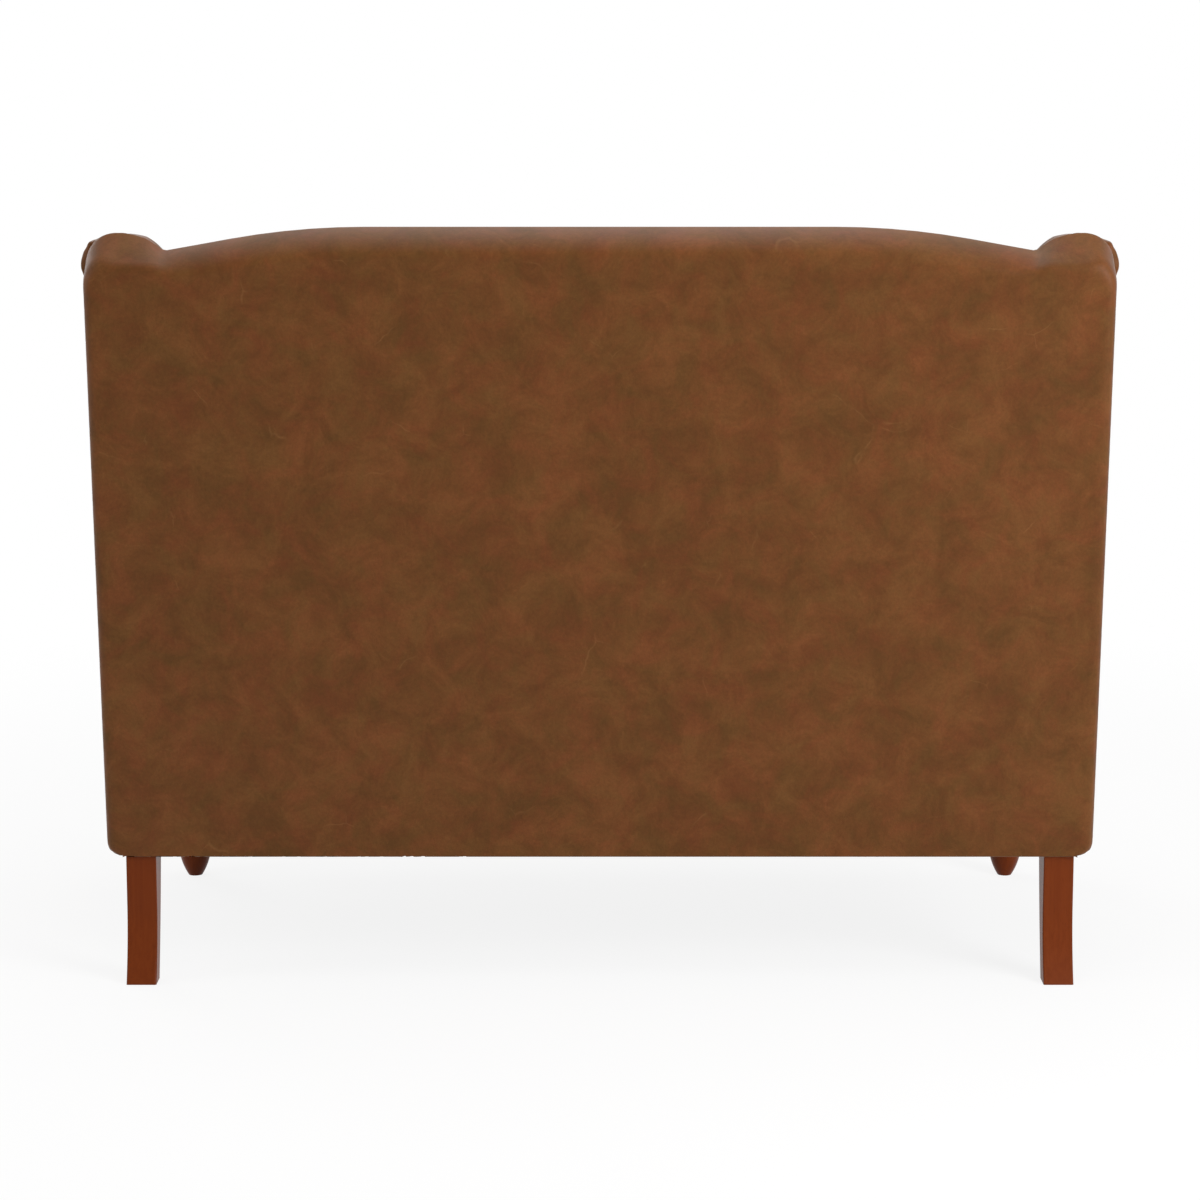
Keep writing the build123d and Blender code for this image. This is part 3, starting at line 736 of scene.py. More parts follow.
def without_faces(piece: Piece, mask: np.ndarray) -> None:
    """Delete the faces of a mesh that a mask names."""
    pick(piece, faces=mask)
    with editing(piece, "FACE"):
        bpy.ops.mesh.delete(type="FACE")


def fatten(piece: Piece, gain: float) -> None:
    """Move a whole mesh out along its normals, or in for a gain below zero."""
    with editing(piece):
        bpy.ops.mesh.select_all(action="SELECT")
        bpy.ops.transform.shrink_fatten(value=gain)


def cord_along(piece: Piece, radius: float, eases: int) -> None:
    """Turn a mesh of bare edges into a round welt cord.

    Args:
        piece: mesh whose edges are the cord's line.
        radius: radius of the cord.
        eases: how often the line is smoothed.
    """
    only(piece)
    bpy.ops.object.convert(target="CURVE")
    with editing(piece):
        bpy.ops.curve.select_all(action="SELECT")
        for _ in range(eases):
            bpy.ops.curve.smooth()
    piece.data.dimensions = "3D"
    piece.data.bevel_depth = radius
    piece.data.bevel_resolution = 3
    only(piece)
    bpy.ops.object.convert(target="MESH")
    with editing(piece):
        bpy.ops.mesh.select_all(action="SELECT")
        bpy.ops.mesh.remove_doubles(threshold=WELD)
        bpy.ops.mesh.normals_make_consistent(inside=False)
    smooth_all(piece)


def settle(piece: Piece, body: str, material: Material) -> None:
    """Dress a finished piece and let it ride on its body.

    Args:
        piece: finished mesh.
        body: body that it moves with.
        material: finish of the piece.
    """
    piece.data.materials.clear()
    piece.data.materials.append(material)
    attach(piece, body)
    log.info("%s: %d faces on %s", piece.name, len(piece.data.polygons), body)


@dataclass(frozen=True)
class RakedBack:
    """Frame of the leaning outside back: a point of its hem, the way up it and the way into it."""

    origin: np.ndarray
    up: np.ndarray
    inward: np.ndarray

    @classmethod
    def found(cls, frame: dict) -> RakedBack:
        """Read the lean from the largest face of the outside back.

        Args:
            frame: the loaded frame.

        Returns:
            The raked frame.
        """
        mesh = frame["nodes"]["outside_back"].data
        face = max((p for p in mesh.polygons if p.normal.y > FACING), key=lambda p: p.area)
        outward = np.array(face.normal)
        inward = -outward / np.linalg.norm(outward)
        up = np.array((0.0, inward[2], -inward[1]))
        middle = np.array(face.center)
        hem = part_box("outside_back")[0].z
        origin = middle - up * ((middle[2] - hem) / up[2])
        return cls(origin * (0, 1, 1), up, inward)

    def depth(self, points: np.ndarray) -> np.ndarray:
        """How far points lie in front of the outside back."""
        return (points - self.origin) @ self.inward

    def height(self, points: np.ndarray) -> np.ndarray:
        """How far up the lean points lie."""
        return (points - self.origin) @ self.up


@dataclass
class PaddedPiece:
    """A padded cover, swollen from a slightly smaller copy of its solid."""

    name: str
    stands_for: tuple[str, ...]
    body: str = SETTEE
    voxel: float = 5 * MM
    relax_rounds: int = 8
    draw_in: float = 0.0
    swell: float = 5 * MM
    pressure: float = 4.0
    slack: float = 0.0
    fill: float = 0.8
    subdivide: bool = True

    def blank(self, frame: dict) -> Piece:
        """Closed form that the cover is made over."""
        return bench_copy(frame, self.name, *self.stands_for)

    def held(self, points: np.ndarray) -> np.ndarray:
        """Mask of the points that are tacked to the frame or rest on something."""
        return np.zeros(len(points), bool)

    def kept_clear(self, points: np.ndarray) -> np.ndarray:
        """Points kept out of the neighbours."""
        return points

    def sewn(self, points: np.ndarray) -> np.ndarray:
        """Points drawn in at the seams."""
        return points

    def remesh(self, piece: Piece) -> None:
        """Even mesh of small quads, its edges eased."""
        finish_with(piece, "REMESH", mode="VOXEL", voxel_size=self.voxel, use_smooth_shade=True)
        finish_with(piece, "SMOOTH", factor=0.5, iterations=self.relax_rounds)

    def inflate(self, piece: Piece) -> None:
        """Swell the cover with air pressure, as its filling does, and cap how far it moves.

        Args:
            piece: remeshed cover.
        """
        held = self.held(points_of(piece))
        if self.draw_in:
            pick(piece, vertices=~held)
            with editing(piece):
                bpy.ops.transform.shrink_fatten(value=-self.draw_in)
        start = points_of(piece)
        group = piece.vertex_groups.new(name="held")
        group.add(np.flatnonzero(held).tolist(), 1.0, "REPLACE")
        only(piece)
        bpy.ops.object.modifier_add(type="CLOTH")
        cloth = piece.modifiers[-1]
        cloth.settings.use_pressure = True
        cloth.settings.uniform_pressure_force = self.pressure
        cloth.settings.effector_weights.gravity = 0
        cloth.settings.vertex_group_mass = group.name
        cloth.settings.shrink_min = -self.slack
        cloth.settings.quality = CLOTH_QUALITY
        cloth.point_cache.frame_start = 1
        cloth.point_cache.frame_end = CLOTH_STEPS
        for step in range(1, CLOTH_STEPS + 1):
            bpy.context.scene.frame_set(step)
        bpy.ops.object.modifier_apply(modifier=cloth.name)
        bpy.context.scene.frame_set(1)
        piece.vertex_groups.clear()
        move = points_of(piece) - start
        length = np.linalg.norm(move, axis=1, keepdims=True)
        eased = self.swell * np.tanh(length / self.swell)
        set_points(piece, start + move * eased / np.maximum(length, TINY))

    def build(self, frame: dict, hide: Material) -> Piece:
        """Make the cover from its blank to its dressed mesh.

        Args:
            frame: the loaded frame.
            hide: finish of the cover.

        Returns:
            The finished piece.
        """
        piece = self.blank(frame)
        self.remesh(piece)
        self.inflate(piece)
        if self.subdivide:
            finish_with(piece, "SUBSURF", levels=1, render_levels=1)
        set_points(piece, self.kept_clear(self.sewn(points_of(piece))))
        return self.dressed(piece, hide, *self.stands_for)

    def dressed(self, piece: Piece, hide: Material, *nodes: str) -> Piece:
        """Shade smooth, dress and place a finished cover, and hide the solids that it stands for.

        Args:
            piece: finished cover.
            hide: finish of the cover.
            nodes: solids that it stands for.

        Returns:
            The same cover.
        """
        smooth_all(piece)
        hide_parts(*nodes)
        settle(piece, self.body, hide)
        return piece

    def mirrored(self, piece: Piece, hide: Material, *nodes: str) -> Piece:
        """Copy a finished left-hand cover to the right.

        Args:
            piece: left-hand cover.
            hide: finish of the cover.
            nodes: left-hand solids that it stands for, or those of the class.

        Returns:
            The right-hand cover.
        """
        copy = mirror_copy(piece, piece.name.replace("left", "right"))
        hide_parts(*(node.replace("left", "right") for node in nodes or self.stands_for))
        settle(copy, self.body.replace("left", "right"), hide)
        return copy


@dataclass
class OutsideBack(PaddedPiece):
    """Plain hide over the rear of the back, open below and towards the front."""

    name: str = "outside_back_cover"
    stands_for: tuple[str, ...] = ("outside_back",)
    relax_rounds: int = 5
    fill: float = 0.9
    hide_thickness: float = 3 * MM
    hem_trim: float = 0.3 * MM
    # Surplus past the hem and the front rim, cut off once the form is smooth.
    edge_spare: float = 10 * MM
    # The relaxed form is let out by this before it is laid back on the solid.
    let_out: float = 3 * MM
    corner_reach: float = 40 * MM
    # Normals that lean less than these count as square to the lean, or as no side at all.
    square: float = 0.05
    least_side: float = 0.02
    # The sides are let out by this share, over the drawn-in edges of the form.
    side_ease: float = 1.0022
    rim_trim: float = 1.6 * MM
    welt_radius: float = 4.2 * MM
    welt_sunk: float = 6 * MM
    # Half axes of the oval that the rounded crown follows up to its front rim.
    crown_reach: float = 90 * MM
    crown_fall: float = 36 * MM
    # Rise and lower bend of the flat slope on each ear.
    ear_rise: float = 36 * MM
    ear_bend: float = 12 * MM
    ear_fade: float = 25 * MM
    raked: RakedBack | None = None

    def blank(self, frame: dict) -> Piece:
        """Outer skin of the solid, closed over its front and hem.

        Args:
            frame: the loaded frame.

        Returns:
            A closed form.
        """
        skin = bench_copy(frame, self.name, *self.stands_for)
        middles, normals = faces_of(skin)
        into = normals @ self.raked.inward
        rise = normals @ self.raked.up
        out = normals[:, 0] * np.sign(middles[:, 0])
        low = self.raked.height(middles) < self.corner_reach
        aside = (out > self.least_side) & (low | (rise > -self.square))
        outer = (into < -self.square) | ((np.abs(into) <= self.square) & ((rise > self.square) | aside))
        without_faces(skin, ~outer)
        depth = self.raked.depth(points_of(skin))
        pick(skin, vertices=rim_of(skin) & (depth > depth.max() - self.rim_trim))
        with editing(skin):
            bpy.ops.mesh.edge_face_add()
            bpy.ops.mesh.select_all(action="DESELECT")
            bpy.ops.mesh.select_non_manifold(extend=False)
            bpy.ops.mesh.edge_face_add()
            bpy.ops.mesh.select_all(action="SELECT")
            bpy.ops.mesh.normals_make_consistent(inside=False)
        points = points_of(skin)
        depth = self.raked.depth(points)
        hem = self.raked.height(points) < self.hem_trim
        front = depth > depth.max() - self.rim_trim
        spare = np.outer(front, self.raked.inward) - np.outer(hem, self.raked.up)
        set_points(skin, points + spare * self.edge_spare)
        return skin

    def build(self, frame: dict, hide: Material) -> Piece:
        """Make the cover as an open shell of hide.

        Args:
            frame: the loaded frame.
            hide: finish of the cover.

        Returns:
            The finished piece.
        """
        piece = self.blank(frame)
        raked = self.raked
        rim = raked.depth(points_of(piece)).max() - self.edge_spare - self.rim_trim
        self.remesh(piece)
        self.welt(piece, rim, hide)
        cut(piece, raked.origin + raked.inward * rim, raked.inward)
        cut(piece, raked.origin + raked.up * self.hem_trim, -raked.up)
        fatten(piece, self.let_out)
        finish_with(piece, "SHRINKWRAP", target=frame["nodes"][self.stands_for[0]])
        self.slope_top(piece, rim)
        set_points(piece, points_of(piece) * (self.side_ease, 1, 1))
        finish_with(piece, "SOLIDIFY", thickness=self.hide_thickness, offset=-1.0)
        return self.dressed(piece, hide, *self.stands_for)

    def fall(self, depth: np.ndarray, rim: float, rise: np.ndarray, on_ear: np.ndarray) -> np.ndarray:
        """How far the top lies below its front rim.

        Args:
            depth: distances in from the outside's plane.
            rim: depth of the front rim.
            rise: heights of the rim over the foot of an ear's slope.
            on_ear: shares of the ear's slope against the crown's round.

        Returns:
            One drop for each depth.
        """
        away = np.clip(1 - depth / self.crown_reach, 0, 1)
        at_rim = 1 - rim / self.crown_reach
        rounded = self.crown_fall * (math.sqrt(1 - at_rim ** 2) - np.sqrt(1 - away ** 2))
        lean = np.arctan2(rim, rise)
        left = np.clip(self.ear_bend - depth, 0, self.ear_bend)
        bent = rise + self.ear_bend * np.tan(lean / 2) - np.sqrt(self.ear_bend ** 2 - left ** 2)
        sloped = np.where(depth < self.ear_bend * (1 - np.cos(lean)), bent, (rim - depth) * rise / rim)
        return rounded + (sloped - rounded) * on_ear

    def slope_top(self, piece: Piece, rim: float) -> None:
        """Draw the top in behind its front rim, in a long round on the crown and a flat slope on the ears.

        Args:
            piece: the cover.
            rim: depth of its front rim.
        """
        points = points_of(piece)
        depth, height = self.raked.depth(points), self.raked.height(points)
        across = np.abs(points[:, 0])
        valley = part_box("inside_back")[1].x
        edge = (depth > rim - self.rim_trim) & (height > height.max() - 2 * self.ear_rise)
        order = np.argsort(across[edge])
        top = np.interp(across, across[edge][order], height[edge][order])
        ear = np.flatnonzero(edge & (across > valley))
        peak = ear[np.argmax(height[ear])]
        rise = np.maximum(top - height[peak] + self.ear_rise, self.ear_bend)
        on_ear = np.clip((across - valley) / (2 * self.ear_fade) + 0.5, 0, 1)
        middle = top - 2 * self.ear_rise
        kept, dropped = np.zeros(len(points)), np.ones(len(points))
        for _ in range(HALVINGS):
            share = (kept + dropped) / 2
            inside = (middle + (height - middle) * share
                      <= top - self.fall(rim + (depth - rim) * share, rim, rise, on_ear))
            kept, dropped = np.where(inside, share, kept), np.where(inside, dropped, share)
        fade = np.clip(1 + (across[peak] - across) / self.ear_fade, 0, 1)
        move = np.where(height > middle, (1 - kept) * fade, 0)
        inward = np.outer((rim - depth) * move, self.raked.inward)
        set_points(piece, points + inward + np.outer((middle - height) * move, self.raked.up))

    def welt(self, form: Piece, rim: float, hide: Material) -> None:
        """Lay the welt in the seam between the outside back and the pieces in front of it.

        Args:
            form: closed form of the cover.
            rim: depth of the cover's front rim.
            hide: finish of the welt.
        """
        line = new_piece("back_welt", form.data.copy())
        fatten(line, -self.welt_sunk)
        cut(line, self.raked.origin + self.raked.inward * rim, self.raked.inward, section=True)
        without(line, self.raked.height(points_of(line)) < 2 * self.welt_sunk)
        cord_along(line, self.welt_radius, eases=4)
        settle(line, SETTEE, hide)


@dataclass
class InsideBack(PaddedPiece):
    """Padded inside of the back, fuller in the middle, tacked all round."""

    name: str = "inside_back_pad"
    stands_for: tuple[str, ...] = ("inside_back",)
    voxel: float = 7.5 * MM
    relax_rounds: int = 5
    swell: float = 9 * MM
    fill: float = 0.7
    tacked: float = 4 * MM
    seat_top: float = 0.47
    raked: RakedBack | None = None

    def held(self, points: np.ndarray) -> np.ndarray:
        """Choose the rear face, the ends and the part behind the seat cushions.

        Args:
            points: points of the cover.

        Returns:
            Mask of the held points.
        """
        depth = self.raked.depth(points)
        reach = np.abs(points[:, 0])
        rear = depth < depth.min() + self.tacked
        return rear | (reach > reach.max() - self.tacked) | (points[:, 2] < self.seat_top)


@dataclass
class WingAndArm(PaddedPiece):
    """Wing and arm of one side with their outward roll, swollen as one form and parted at their seam."""

    name: str = "wing_and_arm"
    stands_for: tuple[str, ...] = ("wing_left", "arm_left")
    relax_rounds: int = 9
    draw_in: float = 2 * MM
    swell: float = 4.5 * MM
    fill: float = 0.85
    tacked: float = 4 * MM
    skin_gap: float = 0.3 * MM
    bridge_setback: float = 24 * MM
    inner_room: float = 2 * MM
    seam_rise: float = 3 * MM
    seam_fall: float = 0.06
    seam_depth: float = 2.4 * MM
    seam_width: float = 5 * MM
    welt_radius: float = 3.4 * MM
    # Near the back the wing's top lies below the outside back's rim and its roll stands out.
    top_reach: float = 100 * MM
    top_blend: float = 30 * MM
    top_sink: float = 3 * MM
    roll_out: float = 2 * MM
    raked: RakedBack | None = None

    def blank(self, frame: dict) -> Piece:
        """Fill the hollows of wing and arm where the frame runs.

        Args:
            frame: the loaded frame.

        Returns:
            Wing and arm as one closed form.
        """
        form = bench_copy(frame, self.name, *self.stands_for)
        board = bench_copy(frame, "board", "wing_board_left")
        low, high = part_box("arm_left")
        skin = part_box("outside_panel_left")[0].x
        block = filler("block", (low.x + self.tacked, low.y + self.tacked, low.z),
                       (skin - self.skin_gap, high.y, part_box("arm_rail_left")[1].z + self.tacked))
        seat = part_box("wing_left")[0]
        bridge = filler("bridge", (low.x + self.tacked, seat.y + self.bridge_setback, seat.z - self.tacked),
                        (skin - self.tacked, high.y, seat.z + self.tacked))
        origin, inward = self.raked.origin, self.raked.inward
        rear = self.raked.depth(points_of(form)).min()
        cut(block, origin + inward * rear, -inward, fill=True)
        cut(bridge, origin + inward * (rear + self.tacked), -inward, fill=True)
        join(form, board, block, bridge)
        return form

    def held(self, points: np.ndarray) -> np.ndarray:
        """Choose the front and rear ends, the base and the skin behind the outside panel.

        Args:
            points: points of the form.

        Returns:
            Mask of the held points.
        """
        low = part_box("arm_left")[0]
        depth = self.raked.depth(points)
        outside = np.abs(points[:, 0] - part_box("outside_panel_left")[0].x) < self.tacked / 2
        ends = (points[:, 1] < low.y + self.tacked) | (depth < depth.min() + self.tacked)
        return outside | ends | (points[:, 2] < low.z + self.tacked)

    def kept_clear(self, points: np.ndarray) -> np.ndarray:
        """Inner face held off the way of the cushions."""
        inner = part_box("arm_left")[0].x - self.inner_room
        points[:, 0] = np.maximum(points[:, 0], inner)
        return points

    def eased_top(self, points: np.ndarray) -> np.ndarray:
        """Lower the wing's top on its inner side and let out its roll.

        Args:
            points: points of the form, which are moved.

        Returns:
            The same points.
        """
        rise = np.clip((points[:, 2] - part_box("wing_left")[1].z) / self.top_reach + 1, 0, 1)
        out = np.clip((points[:, 0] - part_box("outside_panel_left")[0].x) / self.top_blend + 1, 0, 1)
        points[:, 0] += self.roll_out * out * rise
        points[:, 2] += (self.roll_out * out - self.top_sink * (1 - out)) * rise
        return points

    def seam(self) -> tuple[np.ndarray, np.ndarray]:
        """Find the plane in which wing and arm meet.

        Returns:
            A point of the plane and its normal.
        """
        normal = np.array((0.0, self.seam_fall, 1.0))
        place = np.array((0.0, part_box("wing_left")[0].y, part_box("arm_left")[1].z + self.seam_rise))
        return place, normal / np.linalg.norm(normal)

    def sides(self, frame: dict, hide: Material) -> None:
        """Make the wings, the arms and the welts between them on both sides.

        Args:
            frame: the loaded frame.
            hide: finish of the covers.
        """
        form = self.blank(frame)
        self.remesh(form)
        self.inflate(form)
        finish_with(form, "SUBSURF", levels=1, render_levels=1)
        place, normal = self.seam()
        points = points_of(form)
        dip = self.seam_depth * np.exp(-(((points - place) @ normal) / self.seam_width) ** 2)
        set_points(form, self.eased_top(self.kept_clear(points - normals_of(form) * dip[:, None])))
        for node, way in zip(self.stands_for, (-normal, normal)):
            piece = new_piece(node.replace("left", "cover_left"), form.data.copy())
            cut(piece, place, way, fill=True)
            self.mirrored(self.dressed(piece, hide, node), hide, node)
        self.welts(form, hide)
        bpy.data.objects.remove(form)

    def welts(self, form: Piece, hide: Material) -> None:
        """Lay a welt in the seam where it shows, on both sides.

        Args:
            form: wing and arm in one.
            hide: finish of the welts.
        """
        line = new_piece("wing_welt_left", form.data.copy())
        place, normal = self.seam()
        cut(line, place, normal, section=True)
        points = points_of(line)
        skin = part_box("outside_panel_left")[0].x
        depth = self.raked.depth(points)
        roll_end = points[points[:, 0] > skin + self.tacked][:, 1].max(initial=points[:, 1].min())
        hidden = (points[:, 0] > skin - 2 * self.tacked) & (points[:, 1] > roll_end)
        without(line, hidden | (depth < depth.min() + self.tacked))
        cord_along(line, self.welt_radius, eases=4)
        settle(line, SETTEE, hide)
        settle(mirror_copy(line, "wing_welt_right"), SETTEE, hide)


@dataclass
class FlatPanel(PaddedPiece):
    """A thin padded panel, thickened inwards before it is remeshed."""

    thicken: float = 6 * MM
    inward: tuple[float, float, float] = (-1, 0, 0)
    crown: float = 2 * MM
    # How late the crown dies away towards the edges.
    crown_power: int = 4
    voxel: float = 3 * MM
    relax_rounds: int = 6
    subdivide: bool = False

    def blank(self, frame: dict) -> Piece:
        """Copy the panel and move its hidden face inwards.

        Args:
            frame: the loaded frame.

        Returns:
            The thickened panel.
        """
        panel = bench_copy(frame, self.name, *self.stands_for)
        points = points_of(panel)
        way = np.array(self.inward, float)
        depth = points @ way
        hidden = depth > (depth.max() + depth.min()) / 2
        set_points(panel, points + np.outer(hidden, way) * self.thicken)
        return panel

    def inflate(self, piece: Piece) -> None:
        """Give the panel a low crown that dies away at its edges.

        Args:
            piece: remeshed panel.
        """
        points = points_of(piece)
        way = np.array(self.inward, float)
        depth = points @ way
        shown = depth < (depth.max() + depth.min()) / 2
        flat = [i for i in range(3) if not self.inward[i]]
        share = np.ones(len(points))
        for axis in flat:
            low, high = points[:, axis].min(), points[:, axis].max()
            share *= 1 - (2 * (points[:, axis] - low) / (high - low) - 1) ** self.crown_power
        set_points(piece, points - np.outer(share * shown, way) * self.crown)


@dataclass
class ArmFacing(FlatPanel):
    """Front facing of an arm, edged with a welt."""

    name: str = "arm_facing_left_pad"
    stands_for: tuple[str, ...] = ("arm_facing_left",)
    inward: tuple[float, float, float] = (0, 1, 0)
    thicken: float = 2 * MM
    voxel: float = 2.5 * MM
    crown: float = 3 * MM
    welt_radius: float = 3.6 * MM
    hem_reach: float = 0.1 * MM

    def welt(self, frame: dict, hide: Material) -> Piece:
        """Welt round the facing, from hem to hem.

        Args:
            frame: the loaded frame.
            hide: finish of the welt.

        Returns:
            The finished welt.
        """
        line = bench_copy(frame, "arm_facing_welt_left", *self.stands_for)
        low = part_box(self.stands_for[0])[0]
        without_faces(line, faces_of(line)[1][:, 1] > -FACING)
        with editing(line, "FACE"):
            bpy.ops.mesh.select_all(action="SELECT")
            bpy.ops.mesh.region_to_loop()
        with editing(line, "EDGE"):
            bpy.ops.mesh.select_all(action="INVERT")
            bpy.ops.mesh.delete(type="EDGE_FACE")
        points = points_of(line)
        pick(line, vertices=points[:, 2] < low.z + self.hem_reach)
        with editing(line):
            bpy.ops.mesh.delete(type="EDGE_FACE")
            bpy.ops.mesh.select_all(action="SELECT")
            bpy.ops.mesh.subdivide(number_cuts=1)
        points = points_of(line)
        points[:, 1] = low.y + self.welt_radius / 2
        set_points(line, points)
        cord_along(line, self.welt_radius, eases=2)
        settle(line, SETTEE, hide)
        return line


@dataclass
class SeatCushion(PaddedPiece):
    """Loose seat cushion: crowned panels, boxing between two welts, sides drawn in."""

    name: str = "seat_cushion_cover_left"
    stands_for: tuple[str, ...] = ("seat_cushion_left",)
    body: str = Side.LEFT.cushion()
    voxel: float = 6 * MM
    relax_rounds: int = 5
    draw_in: float = 5 * MM
    swell: float = 9 * MM
    slack: float = 0.015
    fill: float = 0.75
    welt_radius: float = 3.6 * MM
    welt_rise: float = 8 * MM
    welt_drop: float = 25 * MM
    seam_depth: float = 2.2 * MM
    seam_width: float = 5 * MM
    pucker_depth: float = 0.9 * MM
    pucker_length: float = 38 * MM
    pucker_reach: float = 18 * MM
    # Uneven spacing of the puckers: how far they drift, and how fast in radians per metre.
    pucker_drift: float = 1.7
    pucker_pace: float = 23.0
    # Where the sides begin, as a share of the half width, and over what share they fade in.
    side_start: float = 0.8
    side_fade: float = 0.15
    side_room: float = 4.2 * MM
    arm_room: float = 5.7 * MM

    def seams(self) -> tuple[float, float]:
        """Heights of the lower and the upper welt."""
        low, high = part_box(self.stands_for[0])
        return low.z + self.welt_rise, high.z - self.welt_drop

    def held(self, points: np.ndarray) -> np.ndarray:
        """Underside, which rests on the deck."""
        return points[:, 2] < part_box(self.stands_for[0])[0].z + self.voxel / 2

    def sewn(self, points: np.ndarray) -> np.ndarray:
        """Draw the cover in along its welts, with small puckers running out of them.

        Args:
            points: points of the cover, which are moved.

        Returns:
            The same points.
        """
        low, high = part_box(self.stands_for[0])
        middle = np.array(((low.x + high.x) / 2, (low.y + high.y) / 2))
        half = np.array(((high.x - low.x) / 2, (high.y - low.y) / 2))
        spread = (points[:, :2] - middle) / half
        edge = np.clip((np.abs(spread).max(axis=1) - self.side_start) / self.side_fade, 0, 1)
        way = spread / np.maximum(np.linalg.norm(spread, axis=1, keepdims=True), TINY)
        run = np.where(np.abs(spread[:, 0]) > np.abs(spread[:, 1]), points[:, 1], points[:, 0])
        drift = self.pucker_drift * np.sin(run * self.pucker_pace)
        wave = np.sin(math.tau * run / self.pucker_length + drift)
        for seam in self.seams():
            gap = points[:, 2] - seam
            dip = self.seam_depth * np.exp(-(gap / self.seam_width) ** 2)
            pucker = self.pucker_depth * wave * np.exp(-np.abs(gap) / self.pucker_reach)
            points[:, :2] -= way * (edge * (dip + pucker))[:, None]
        return points

    def kept_clear(self, points: np.ndarray) -> np.ndarray:
        """Keep the sides off the arm and the other cushion, and the underside on the deck.

        Args:
            points: points of the cover, which are moved.

        Returns:
            The same points.
        """
        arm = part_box("arm_left")[0].x
        points[:, 0] = np.clip(points[:, 0], self.side_room, arm - self.arm_room)
        points[:, 2] = np.maximum(points[:, 2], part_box(self.stands_for[0])[0].z)
        return points

    def welts(self, cushion: Piece, hide: Material) -> list[Piece]:
        """Welts along both seams of a finished cushion.

        Args:
            cushion: finished cover of this side.
            hide: finish of the welts.

        Returns:
            The lower and the upper welt.
        """
        made = []
        for place, height in zip(("lower", "upper"), self.seams()):
            line = new_piece(f"cushion_welt_{place}_left", cushion.data.copy())
            cut(line, (0, 0, height), (0, 0, 1), section=True)
            cord_along(line, self.welt_radius, eases=8)
            settle(line, self.body, hide)
            made.append(line)
        return made


@dataclass
class InnerLayer:
    """Foam, wadding or decking under the hide, its cut edges eased."""

    node: str
    slot: str
    fill: float
    body: str = SETTEE
    ease: float = 3 * MM
    cloth: str = ""
    eased_from: float = 40.0
    smooth_below: float = 30.0

    def build(self, frame: dict, material: Material) -> Piece:
        """Copy the layer and round its edges.

        Args:
            frame: the loaded frame.
            material: finish of the layer.

        Returns:
            The finished layer.
        """
        piece = bench_copy(frame, self.node + "_layer", self.node)
        finish_with(piece, "BEVEL", width=self.ease, segments=3, limit_method="ANGLE",
                    angle_limit=math.radians(self.eased_from))
        smooth_all(piece, self.smooth_below)
        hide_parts(self.node)
        settle(piece, self.body, material)
        return piece


@dataclass
class DustCover:
    """Black cloth tacked below the seat frame, sagging a little between the rails."""

    node: str = "dust_cover"
    sag: float = 5 * MM
    step: float = 40 * MM
    thickness: float = 0.8 * MM

    def build(self, frame: dict, cloth: Material) -> Piece:
        """Cut the cloth from the solid's underside and let it sag.

        Args:
            frame: the loaded frame.
            cloth: finish of the cloth.

        Returns:
            The finished sheet.
        """
        piece = bench_copy(frame, "dust_cloth", self.node)
        without_faces(piece, faces_of(piece)[1][:, 2] > -FACING)
        with editing(piece, "FACE"):
            bpy.ops.mesh.select_all(action="SELECT")
            bpy.ops.mesh.dissolve_limited(angle_limit=math.radians(1))
        low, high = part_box(self.node)
        with editing(piece, "FACE"):
            for axis in (0, 1):
                way = [float(i == axis) for i in range(3)]
                for i in range(1, int((high[axis] - low[axis]) / self.step)):
                    place = [w * (low[axis] + i * self.step) for w in way]
                    bpy.ops.mesh.select_all(action="SELECT")
                    bpy.ops.mesh.bisect(plane_co=place, plane_no=way)
        points = points_of(piece)
        reach = np.stack([(2 * points[:, i] - low[i] - high[i]) / (high[i] - low[i]) for i in (0, 1)])
        points[:, 2] = low.z + self.thickness - self.sag * np.prod(1 - reach ** 2, axis=0)
        set_points(piece, points)
        finish_with(piece, "SOLIDIFY", thickness=self.thickness, offset=0.0)
        smooth_all(piece)
        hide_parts(self.node)
        settle(piece, SETTEE, cloth)
        return piece


